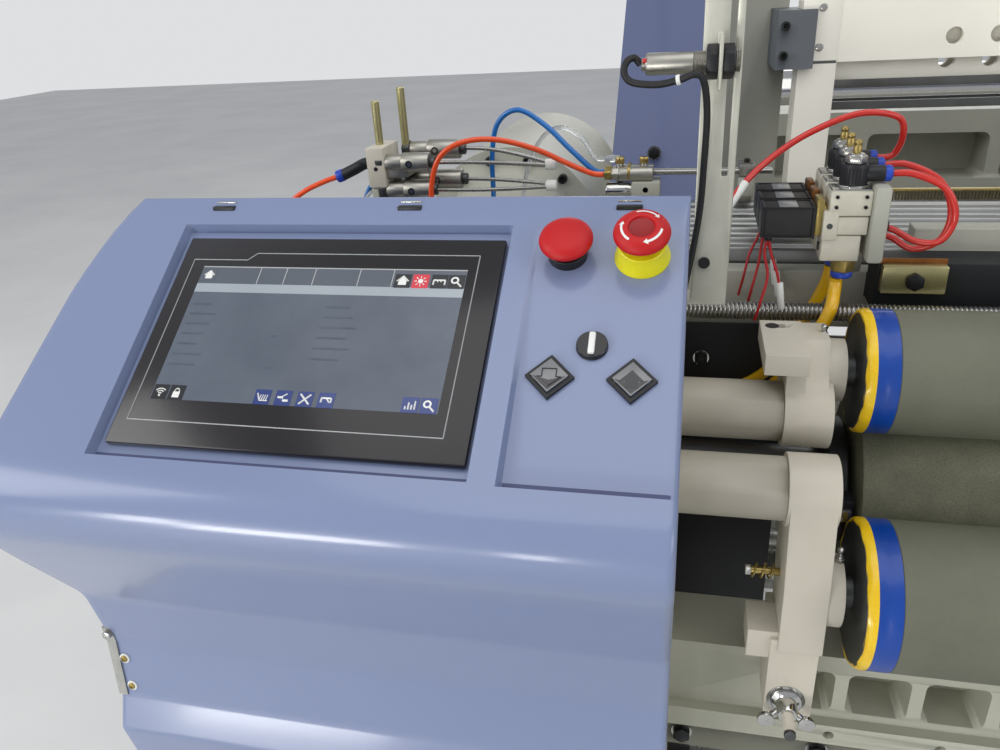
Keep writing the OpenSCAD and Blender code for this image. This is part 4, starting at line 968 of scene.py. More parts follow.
    def trimmings(self, form: Form) -> None:
        """Adds the clips on the top edge, the screws and strap at the left, and thin dark strips of
        painted shade along the feet of the pocket and the recess.
        """
        for x in self.clips:
            form.box((x - 10, 104, 68.6), (x + 10, 110, 72.0), Look.BLACK, 0.6)
            form.box((x - 9, 111.0, 73.2), (x + 9, 112.6, 74.8), Look.ZINC, 0.3)
        for x, y, z in self.screws:
            out = (0, -0.99, 0.11)
            form.rod((x, y, z), (x, y - 1.8, z + 0.2), 5.2, Look.WHITE, 24, 0.4)
            form.lathe((x, y - 1.6, z + 0.2), out, [
                (0, 0), (3.6, 0), (3.4, 1.2), (1.6, 1.9), (1.4, 1.0), (0, 1.0)], Look.BRASS, 24)
        left, right, low, _ = self.pocket
        side, foot, _ = self.recess
        # Thin dark strips on the floor beside each foot's lip, painted shade where the crease lies
        # in shadow.
        for start, end, reach, wide in ((left, right, low + 1, 3.0),
                                        (side + 3, 270, foot + 1, 3.4)):
            corners = ((0, 0), (wide, 0), (wide, 0.5), (0, 0.5))
            form.prism([self.on_slope((start, reach + q, h - self.pocket_depth))
                        for q, h in corners], (end - start, 0, 0), Look.COVER_SHADE)
        form.prism([(self.strap_at, y, z) for y, z in (
            (-29.6, -294), (-28.2, -310), (-35.2, -374), (-36.7, -374), (-29.7, -310),
            (-31.1, -294))], (9.5, 0, 0), Look.ZINC)
        form.bolt((-244.8, -30.4, -302), (0, -1, 0.11), 4.8, Look.ZINC)

    def build(self) -> bpy.types.Object:
        """Builds the whole cover.

        Returns:
            The cover, in place of the plain one.
        """
        part = self.skin()
        self.shape_left(part)
        if not self.mirrored:
            self.sink(part)
        part.normal_update()
        bmesh.ops.solidify(part, geom=part.faces, thickness=self.wall)
        place = Matrix.Translation(CONSOLE_AT)
        if self.mirrored:
            place = Matrix.Scale(-1, 4, RIGHT) @ place
            bmesh.ops.reverse_faces(part, faces=part.faces)
        form = Form("moulded_right_cover" if self.mirrored else "moulded_console_cover", place)
        form.take(part, Look.COVER)
        if not self.mirrored:
            self.trimmings(form)
        node = "right_cover" if self.mirrored else "console_cover"
        return form.finish_off("root", Slot.COVER, [node], 62.0)


# Strokes of the generic icons, as x0, y0, x1, y1 and thickness, in half sides of the square
ICON_STROKES: dict[int, Sequence[Sequence[float]]] = {
    0: ((-0.75, -0.05, 0, 0.72, 0.5), (0, 0.72, 0.75, -0.05, 0.5)),
    2: ((-0.7, 0.2, 0.7, 0.2), (-0.7, 0.2, -0.7, -0.5), (0.7, 0.2, 0.7, -0.5),
        (-0.2, 0.2, -0.2, -0.1, 0.5), (0.2, 0.2, 0.2, -0.1, 0.5)),
    3: ((0.15, -0.15, 0.7, -0.7),),
    6: ((-0.65, -0.65, 0.65, 0.65), (-0.65, 0.65, 0.65, -0.65)),
    7: ((-0.7, 0.5, -0.3, -0.4, 0.5), (-0.3, -0.4, -0.2, 0.3, 0.4),
        (-0.02, -0.4, 0.08, 0.3, 0.4), (0.26, -0.4, 0.36, 0.3, 0.4),
        (0.54, -0.4, 0.64, 0.3, 0.4), (-0.3, -0.45, 0.75, -0.45, 0.4)),
    8: ((-0.7, 0.1, 0.0, 0.1, 0.9), (0.0, -0.3, 0.7, -0.3, 0.9), (-0.3, 0.1, 0.4, 0.6, 0.5)),
    9: ((-0.55, -0.6, -0.55, -0.2, 0.6), (-0.18, -0.6, -0.18, 0.3, 0.6),
        (0.19, -0.6, 0.19, 0.0, 0.6), (0.56, -0.6, 0.56, 0.5, 0.6)),
    10: ((-0.6, 0.3, 0.6, 0.3), (-0.6, 0.3, -0.6, -0.3), (0.6, 0.3, 0.6, -0.3),
         (0.0, 0.3, 0.45, -0.3, 0.5)),
}


@dataclass
class TouchScreen:
    """Panel computer with its bezel, inset line and a plain generic screen."""

    width: float = 274.0
    height: float = 193.0
    face: float = -2.0
    inset: tuple[float, float, float, float] = (-125.5, 118.5, -77.0, 80.0)
    display: tuple[float, float, float, float] = (-114.0, 111.0, -59.0, 66.0)

    def frame_line(self, form: Form) -> None:
        """Draws the thin pale line round the display."""
        left, right, low, high = self.inset
        step, line = 7.0, 0.8
        path = [(left, low), (right, low), (right, high), (-70.0, high),
                (-70.0 - step, high - step), (left, high - step)]
        for (x0, y0), (x1, y1) in zip(path, path[1:] + path[:1]):
            a, b = Vector((x0, y0, self.face + 0.1)), Vector((x1, y1, self.face + 0.1))
            form.rod(a, b, line / 2, Look.LINE, 4)

    def rect(self, form: Form, box: tuple[float, float, float, float], finish: Finish,
             lift: float = 0.2) -> None:
        """Lays a flat field on the display."""
        form.box((box[0], box[2], self.face - 0.5), (box[1], box[3], self.face + lift), finish, 0)

    def icon(self, form: Form, at: Pair, size: float, ground: Finish, mark: int) -> None:
        """Lays one generic icon on its square."""
        x, y = at
        half = size / 2
        self.rect(form, (x - half, x + half, y - half, y + half), ground, 0.3)
        top = self.face + 0.45
        white = Look.WHITE

        def bar(x0: float, y0: float, x1: float, y1: float, thick: float = 0.7) -> None:
            """Draws one stroke of the icon."""
            form.rod((x + x0 * half, y + y0 * half, top - 0.15),
                     (x + x1 * half, y + y1 * half, top - 0.15), thick, white, 4)
        low = top - 0.2
        if mark == 0:
            corners = ((-0.5, -0.6), (0.5, -0.6), (0.5, 0), (0, 0.6), (-0.5, 0))
            form.prism([(x + a * half, y + b * half, low) for a, b in corners], (0, 0, 0.2), white)
        elif mark == 1:
            for angle in range(0, 360, 45):
                a = math.radians(angle)
                bar(0.45 * math.cos(a), 0.45 * math.sin(a), 0.75 * math.cos(a),
                    0.75 * math.sin(a), 0.4)
            form.rod((x, y, low), (x, y, top), half * 0.32, white, 16)
        elif mark == 3:
            form.lathe((x - 0.2 * half, y + 0.2 * half, low), UP, [
                (half * 0.28, 0), (half * 0.5, 0), (half * 0.5, 0.2), (half * 0.28, 0.2),
                (half * 0.28, 0)], white, 20)
        elif mark == 4:
            for radius in (0.3, 0.6, 0.9):
                self.arch(bar, radius, radius, -0.45, range(45, 136, 15))
            form.rod((x, y - 0.5 * half, low), (x, y - 0.5 * half, top), half * 0.14, white, 12)
        elif mark == 5:
            form.box((x - 0.45 * half, y - 0.7 * half, low), (x + 0.45 * half, y + 0.1 * half, top),
                     white, 0)
            self.arch(bar, 0.32, 0.45, 0.1, range(0, 181, 20))
        for stroke in ICON_STROKES.get(mark, ()):
            bar(*stroke)

    @staticmethod
    def arch(bar: Callable[..., None], wide: float, tall: float, lift: float,
             angles: Iterable[int]) -> None:
        """Draws an arched line of an icon in short strokes."""
        points = [(math.cos(math.radians(a)) * wide, math.sin(math.radians(a)) * tall + lift)
                  for a in angles]
        for near, far in zip(points, points[1:]):
            bar(*near, *far, 0.45)

    def build(self) -> bpy.types.Object:
        """Builds the panel.

        Returns:
            The panel, in place of the plain one.
        """
        form = Form("touch_screen", console_place())
        form.box((-self.width / 2, -self.height / 2, -8.0),
                 (self.width / 2, self.height / 2, self.face), Look.BLACK_GLOSS, 1.6)
        form.box((-124.7, -90.2, -30.0), (124.7, 90.2, -7.5), Look.BLACK, 2.0)
        left, right, _, high = self.display
        self.rect(form, self.display, Look.SCREEN, 0.05)
        self.rect(form, (left, right, high - 17, high), Look.SCREEN_DARK, 0.1)
        self.rect(form, (left, right, high - 26, high - 17.5), Look.SCREEN_PALE, 0.12)
        for x in (-62, -39, -14, 24, 52):
            self.rect(form, (x, x + 0.7, high - 17, high - 1), Look.LINE, 0.15)
        self.rect(form, (left, right, high - 1, high), Look.LINE, 0.15)
        for row in range(7):
            y = high - 38 - row * 9.4
            dash = 16 + (row * 7) % 9
            self.rect(form, (left + 4, left + 4 + dash, y - 0.9, y + 0.9), Look.SCREEN_INK,
                      0.12)
            if row < 6:
                self.rect(form, (4, 24 + (row * 5) % 11, y - 0.9, y + 0.9),
                          Look.SCREEN_INK, 0.12)
            if row > 2:
                self.rect(form, (-36 + row, -30 + row, y - 0.9, y + 0.9), Look.SCREEN_INK,
                          0.12)
        self.icon(form, (-106, 57), 12, Look.SCREEN_DARK, 0)
        for x, ground, mark in ((61, Look.ICON_BLACK, 0), (75.5, Look.ICON_RED, 1),
                                (90.5, Look.ICON_BLACK, 2), (104, Look.ICON_BLACK, 3)):
            self.icon(form, (x, 54.5), 13, ground, mark)
        for x, ground, mark in ((-107, Look.ICON_BLACK, 4), (-93.4, Look.ICON_BLACK, 5),
                                (-23.2, Look.ICON_NAVY, 7), (-6.6, Look.ICON_NAVY, 8),
                                (10.4, Look.ICON_NAVY, 6), (26.8, Look.ICON_NAVY, 10),
                                (90, Look.ICON_NAVY, 9), (103.6, Look.ICON_NAVY, 3)):
            self.icon(form, (x, -53), 12.4, ground, mark)
        self.frame_line(form)
        return form.finish_off("root", Slot.BEZEL, ["touch_panel"])


@dataclass
class Switches:
    """Mushroom buttons, selector and keys on the sloped recess."""

    emergency: Pair = (241.7, 80.8)
    stop: Pair = (186.5, 81.5)
    selector: Pair = (211.7, 2.2)
    inch: Pair = (184.6, -24.3)
    start: Pair = (241.0, -24.6)
    key_drop: float = 0.3
    depth: float = 8.0
    head: float = 106.0
    length: float = 214.0

    def seat(self, at: Pair) -> Point:
        """Gives the point a little under the recess's floor at a switch."""
        return at[0], at[1], -self.depth * (self.head - at[1]) / self.length - 1.0

    def form(self, name: str, at: Pair, drop: float = 0.0) -> Form:
        """Starts a piece whose own origin is on a switch's seat, or some way below it."""
        seat = Vector(self.seat(at)) - Vector((0, 0, drop))
        return Form(name, console_place() @ Matrix.Translation(seat))

    def emergency_stop(self) -> None:
        """Builds the twist-release stop with its yellow collar."""
        collar = self.form("yellow_collar", self.emergency)
        collar.lathe((0, 0, 0), UP, [
            (11.2, 0), (20.4, 0), (20.6, 0.8), (20.3, 2.2), (18.7, 8), (17.3, 14), (17.5, 15.1),
            (16.6, 15.9), (11.2, 15.9), (11.2, 0)], Look.YELLOW, 64)
        collar.finish_off("root", Slot.YELLOW, ["estop_collar"])
        stem = self.form("emergency_stem", self.emergency)
        stem.lathe((0, 0, 0), UP, [
            (0, 7.4), (10.9, 7.4), (10.9, 22), (6, 22), (6, 26.3), (0, 26.3)], Look.RED_DEEP)
        stem.finish_off("estop_stem", Slot.RED, ["estop_plunger"])
        head = self.form("emergency_head", self.emergency)
        head.lathe((0, 0, 0), UP, [
            (6.2, 22.8), (9, 22.6), (15, 23.0), (18.8, 24.2), (20.2, 25.8), (20.5, 27.2),
            (20.0, 28.8), (18.4, 31.0), (15.6, 33.1), (12.6, 34.2), (10.6, 34.4), (9.6, 33.9),
            (9.0, 32.4)], Look.RED, 72)
        head.lathe((0, 0, 0), UP, [(9.0, 32.4), (6, 31.7), (0, 31.8)],
                   Look.RED_DEEP, 72)
        head.lathe((0, 0, 0), UP, [(6.2, 22.8), (6.2, 26.7), (0, 26.7)],
                   Look.RED_DEEP, 48)
        for start in (108, 235, 352):
            self.arrow(head, start)
        head.finish_off("estop", Slot.RED, ["estop_head"])

    def arrow(self, form: Form, start: float, sweep: float = 62.0) -> None:
        """Lays one curved white arrow on the head, turning with the hand."""
        def on_dome(radius: float, angle: float, lift: float = 0.16) -> Vector:
            """Gives a point on the head's rim."""
            height = 34.2 - (radius - 12.6) * (1.1 / 3.0) if radius > 12.6 else 34.3
            a = math.radians(angle)
            return Vector((radius * math.cos(a), radius * math.sin(a), height + lift))
        part = bmesh.new()
        steps = 12
        rows = []
        for k in range(steps + 1):
            angle = start - sweep * k / steps
            rows.append((part.verts.new(on_dome(13.5, angle)),
                         part.verts.new(on_dome(15.1, angle))))
        for (a, b), (c, d) in zip(rows, rows[1:]):
            part.faces.new((a, b, d, c))
        tip = start - sweep
        part.faces.new([part.verts.new(on_dome(12.3, tip)), part.verts.new(on_dome(16.4, tip)),
                        part.verts.new(on_dome(14.2, tip - 13))])
        bmesh.ops.recalc_face_normals(part, faces=part.faces)
        for face in part.faces:
            if face.normal.z < 0:
                face.normal_flip()
        form.take(part, Look.WHITE)

    def plain_stop(self) -> None:
        """Builds the plain mushroom on its black collar."""
        head = self.form("stop_mushroom", self.stop)
        head.lathe((0, 0, 0), UP, [
            (0, 6.4), (9.8, 6.4), (9.8, 14.4), (15, 14.6), (18.6, 15.8), (20, 17.6), (20.1, 18.8),
            (19.4, 20.6), (17.4, 22.8), (14.2, 24.4), (9.8, 25.4), (5, 25.9), (0, 26)],
            Look.RED, 72)
        head.finish_off("stop", Slot.RED, ["stop_button"])

    def turning_switch(self) -> None:
        """Builds the selector with its white bar."""
        knob = self.form("selector_bar", self.selector)
        knob.lathe((0, 0, 0), UP, [
            (0, -12), (6.9, -12), (6.9, 1.5), (11, 1.5), (11, 4.0), (10.5, 4.5), (0, 4.5)],
            Look.BLACK_GLOSS)
        knob.box((-2.4, -9.0, 3.9), (2.4, 9.0, 7.2), Look.WHITE, 1.3)
        knob.finish_off("selector", Slot.BEZEL, ["selector_knob"])

    def key(self, name: str, at: Pair, body: str, node: str, filled: bool) -> None:
        """Builds one diamond key with its arrow.

        Args:
            name: the piece's name.
            at: where it sits.
            body: the body that it rides on.
            node: the CAD node that it replaces.
            filled: whether the arrow is a solid one that points up.
        """
        form = self.form(name, at, self.key_drop)
        half = 19.0 / 2 * math.sqrt(2)
        form.prism([(half, 0, 4.9), (0, half, 4.9), (-half, 0, 4.9), (0, -half, 4.9)],
                   (0, 0, 1.0), Look.KEY_GREY, 0.35)
        form.prism([(half - 1.6, -0.6, 5.8), (0, -4.2, 5.8), (-half + 1.6, -0.6, 5.8),
                    (0, -half + 1.4, 5.8)], (0, 0, 0.15), Look.KEY_DARK)
        top = 5.95
        if filled:
            form.prism([(-8.4, -2.2, top), (-4.4, -2.2, top), (-4.4, -7.4, top), (4.4, -7.4, top),
                        (4.4, -2.2, top), (8.4, -2.2, top), (0, 6.6, top)], (0, 0, 0.15),
                       Look.ICON_BLACK)
        else:
            path = [(-8.6, -1.6), (-5, -1.6), (-5, 4.8), (5, 4.8), (5, -1.6), (8.6, -1.6),
                    (0, -9.2)]
            for (x0, y0), (x1, y1) in zip(path, path[1:] + path[:1]):
                form.rod((x0, y0, top), (x1, y1, top), 0.45, Look.ICON_BLACK, 6)
        form.finish_off(body, Slot.KEY, [node])

    def collars(self) -> None:
        """Builds the black collars and the two key frames."""
        form = Form("switch_rings", console_place())
        for at, inner, outer, tall in ((self.stop, 10.1, 15.0, 8.4),
                                       (self.selector, 7.1, 11.5, 1.2)):
            x, y, z = self.seat(at)
            form.lathe((x, y, z), UP, [
                (inner, 0), (outer, 0), (outer, tall - 0.5), (outer - 0.5, tall), (inner, tall),
                (inner, 0)], Look.BLACK, 56)
        for at in (self.inch, self.start):
            x, y, z = self.seat(at)
            half, inner = 24.6 / 2 * math.sqrt(2), 19.7 / 2 * math.sqrt(2)
            part = bmesh.new()
            bmesh.ops.create_circle(part, segments=4, radius=half, cap_ends=False)
            outer = list(part.edges)
            made = bmesh.ops.create_circle(part, segments=4, radius=inner, cap_ends=False)
            bmesh.ops.bridge_loops(part, edges=outer + list(
                {e for v in made["verts"] for e in v.link_edges}))
            grown = bmesh.ops.extrude_face_region(part, geom=list(part.faces))
            bmesh.ops.translate(part, vec=(0, 0, 4.0), verts=[
                v for v in grown["geom"] if isinstance(v, bmesh.types.BMVert)])
            bmesh.ops.recalc_face_normals(part, faces=part.faces)
            bmesh.ops.translate(part, vec=(x, y, z - self.key_drop), verts=part.verts)
            form.take(part, Look.BLACK)
        form.finish_off("root", Slot.BEZEL, ["switch_collars"])

    def build(self) -> None:
        """Builds every switch."""
        self.emergency_stop()
        self.plain_stop()
        self.turning_switch()
        self.key("inch_key", self.inch, "inch", "inch_button", False)
        self.key("start_key", self.start, "start", "start_button", True)
        self.collars()


@dataclass
class RelayValves:
    """Three solenoid valves with throttle caps, their plate, hoses and leads."""

    front: float = -330.0
    pitch: float = 35.0
    count: int = 3
    left: float = -1030.0
    right: float = -991.0
    low: float = 1074.0
    top: float = 1139.0

    def middles(self) -> list[tuple[float, float]]:
        """Gives each valve's front face and middle along the row."""
        return [(self.front + self.pitch * index, self.front + self.pitch * index + 15.5)
                for index in range(self.count)]

    def bodies(self) -> None:
        """Builds the valve bodies and the plate beside them."""
        form = Form("valve_bodies")
        mid = (self.left + self.right) / 2
        for y, middle in self.middles():
            form.box((self.left + 1, y + 3, self.low), (self.right - 5, y + 28, self.low + 24),
                     Look.VALVE, 1.6)
            form.box((self.left + 9, y + 1.6, self.low + 24.6),
                     (self.right - 1, y + 29, self.low + 41), Look.VALVE, 1.4)
            form.box((self.left + 4, y + 0.2, self.low + 41.6),
                     (self.right, y + 30.8, self.top - 1.5), Look.VALVE, 2.0)
            form.box((self.left, y, self.low + 20), (self.left + 13, y + 24, self.low + 46),
                     Look.VALVE, 1.4)
            form.box((self.left + 5, y + 3, self.top - 2), (self.right - 2, y + 28, self.top),
                     Look.ZINC, 0.8)
            for dx, dz in ((-12, 50), (12, 50), (-12, 59), (12, 59)):
                form.socket_screw((mid + 2 + dx, y + 0.3, self.low + dz), FRONT, 2.0)
            form.rod((self.left + 6, y - 0.2, self.low + 33),
                     (self.left + 6, y + 1, self.low + 33), 2.6, Look.STEEL_DARK, 16)
            form.rod((self.left - 0.2, middle, self.low + 11),
                     (self.left + 2, middle, self.low + 11), 4.0, Look.STEEL_DARK, 20)
        form.finish_off("root", Slot.VALVE, [])
        plate = Form("valve_side_plate")
        plate.box((self.right, self.front - 5, self.low), (self.right + 14, -222.0, self.top + 3),
                  Look.CAST_GREY, 3.5)
        plate.box((self.right, -252.0, 1040.0), (self.right + 14, -228.0, self.low + 2),
                  Look.CAST_GREY, 2.0)
        for _, middle in self.middles():
            for z in (self.low + 12, self.top - 8):
                plate.socket_screw((self.right + 13.8, middle, z), RIGHT, 3.0)
        plate.finish_off("root", Slot.VALVE, ["valve_block"])

    def coils(self) -> None:
        """Builds the coils in their frames and the brass armature blocks."""
        form = Form("solenoid_coils")
        left, right = self.left - 52, self.left - 6
        low, top = self.low + 22, self.low + 50
        for y, middle in self.middles():
            form.box((left + 2.4, y + 1.3, low + 0.8), (right - 2.4, y + 29.7, top - 0.8),
                     Look.COIL, 1.8)
            for x in (left, right - 3):
                form.box((x, y + 0.5, low), (x + 3, y + 30.5, top), Look.BLACK, 1.0)
            for z in (low, top - 1.6):
                form.box((left, y + 0.5, z), (right, y + 2.1, z + 1.6), Look.BLACK, 0.5)
                form.box((left, y + 28.9, z), (right, y + 30.5, z + 1.6), Look.BLACK, 0.5)
            form.box((left + 15, y + 4, top - 0.9), (left + 31, y + 27, top - 0.2),
                     Look.KEY_GREY, 0.2)
            form.box((right, y + 4.5, low + 1), (right + 7, y + 26.5, top + 6),
                     Look.BRASS if y < -320 else Look.COPPER, 1.5)
            form.rod((right + 6.5, middle, low + 20), (right + 10, middle, low + 20), 7.5,
                     Look.BRASS, 28, 0.6)
            form.rod((left + 8, middle - 5, low - 5), (left + 8, middle - 5, low + 1), 3.2,
                     Look.BLACK, 16, 0.6)
        form.finish_off("root", Slot.COIL, ["valve_coils"])
        leads = Form("coil_leads")
        for index, (y, middle) in enumerate(self.middles()):
            x, z = left + 8, low - 4
            reach = -6.0 * index
            leads.tube([(x - 1, middle - 5, z), (x - 2, middle - 6, z - 14),
                        (x + 2 + reach, middle - 10, z - 34), (x - 3 + reach, middle - 16, z - 58),
                        (x - 6 + reach, middle - 10, z - 78)], 1.3, Look.WIRE_RED, 3)
            leads.tube([(x + 1, middle - 5, z), (x + 4, middle - 6, z - 14),
                        (x + 10, middle - 8, z - 30), (x + 14, middle - 9, z - 46)], 1.3,
                       Look.WIRE_RED, 3)
            leads.rod((x + 13.4, middle - 9, z - 40), (x + 17, middle - 10, z - 66), 3.2,
                      Look.WHITE, 16, 1.0)
        leads.finish_off("root", Slot.CABLE)

    def fittings(self) -> None:
        """Builds the throttle caps, nuts, stems, elbows and the fittings below."""
        form = Form("throttle_caps")
        mid = (self.left + self.right) / 2 + 4
        for _, y in self.middles():
            form.rod((mid, y, self.top - 0.5), (mid, y, self.top + 2.2), 13.0, Look.ZINC, 8,
                     0.6, turn=22.5)
            form.lathe((mid, y, self.top), UP, [
                (0, 2), (10.6, 2), (11.4, 3), (11.4, 18.2), (10.4, 20), (0, 20)],
                Look.BLACK, 40)
            for step in range(24):
                angle = math.radians(step * 15)
                x, dy = mid + 11.3 * math.cos(angle), 11.3 * math.sin(angle)
                form.rod((x, y + dy, self.top + 4), (x, y + dy, self.top + 17), 0.6,
                         Look.BLACK, 5)
            form.rod((mid + 8, y, self.top + 11), (mid + 25, y, self.top + 11), 7.0,
                     Look.BLACK, 32, 1.4)
            form.lathe((mid + 24.5, y, self.top + 11), RIGHT, [
                (3.4, 0), (6.6, 0), (7.0, 1), (7.0, 4.6), (5.6, 6), (3.4, 6), (3.4, 0)],
                Look.COLLAR_BLUE, 28)
            form.rod((mid, y, self.top + 20), (mid, y, self.top + 27), 9.6, Look.ZINC, 6, 1.2,
                     turn=15)
            form.lathe((mid, y, self.top + 26.5), UP, [
                (0, 0), (7.4, 0), (7.0, 1.4), (5.4, 2.5), (0, 2.5)], Look.ZINC, 24)
            form.lathe((mid, y, self.top + 28), UP, [
                (0, 0), (3.5, 0), (3.5, 6), (3.1, 6.6), (3.1, 8), (3.5, 8.6), (3.5, 10.4),
                (2.4, 12), (0, 12)], Look.BRASS, 20)
            form.rod((mid, y, self.low - 12), (mid, y, self.low), 11, Look.BRASS, 6, 1.2,
                     turn=8)
            form.lathe((mid, y, self.low - 18), UP, [
                (6.3, 0), (8.4, 0), (9.5, 1.2), (9.5, 5), (8.6, 6.2), (6.3, 6.2), (6.3, 0)],
                Look.COLLAR_BLUE, 32)
        form.finish_off("root", Slot.BEZEL, ["valve_fittings"])

    def hoses(self) -> None:
        """Builds the three red hoses and the two thick yellow ones."""
        form = Form("air_hoses")
        mid = (self.left + self.right) / 2
        side, plate = mid + 34.8, self.right + 14.7
        low = [(side, -314.5, 1150), (-958, -314.5, 1149), (-931, -314, 1136),
               (-920, -315, 1112), (-928, -316, 1091), (-946, -310, 1088), (-964, -301, 1096),
               (plate, -300, 1100)]
        high = [(side, -279.5, 1150), (-956, -279.5, 1150), (-928, -284, 1136),
                (-917, -292, 1110), (-924, -298, 1086), (-944, -292, 1076), (-962, -286, 1085),
                (plate, -285, 1088)]
        arc = [(side, -244.5, 1150), (-962, -244.5, 1152), (-957, -250, 1170),
               (-965, -256, 1188), (-1000, -264, 1193), (-1042, -272, 1178), (-1075, -285, 1158),
               (-1098, -300, 1138), (-1116, -316, 1114), (-1126, -326, 1088),
               (-1131, -330, 1062), (-1134, -330, 1044), (-1141, -330, 1036),
               (-1149.3, -330, 1035)]
        for route in (low, high, arc):
            form.tube(route, 3.0, Look.TUBE_RED, 5)
        form.rod((-1096, -299, 1140), (-1120, -320, 1106), 3.7, Look.WHITE, 16, 0.8)
        for y, z in ((-300, 1100), (-285, 1088)):
            form.rod((plate - 1, y, z), (plate + 7, y, z), 5.2, Look.BLACK, 20, 1.0)
        drop = [(0, 0, 1055.3), (0, 0, 1050), (-1, 0, 1042), (-5, 1, 1028), (-17, 1, 1000),
                (-30, 5, 970), (-46, 10, 938), (-72, 13, 916), (-104, 14, 907),
                (-138.8, 14, 906)]
        ahead = [0, 0, -5, -19, -22, -14, -4, 0, 0, 0]
        for index in (0, 1):
            y = self.front + self.pitch * index + 15.5
            form.tube([(mid + dx, y + dy + (1 - index) * ahead[spot], z)
                       for spot, (dx, dy, z) in enumerate(drop)], 6.0, Look.TUBE_YELLOW, 6)
        form.finish_off("root", Slot.HOSE, ["valve_hoses"])

    def build(self) -> None:
        """Builds the whole group."""
        self.hoses()
        self.bodies()
        self.coils()
        self.fittings()


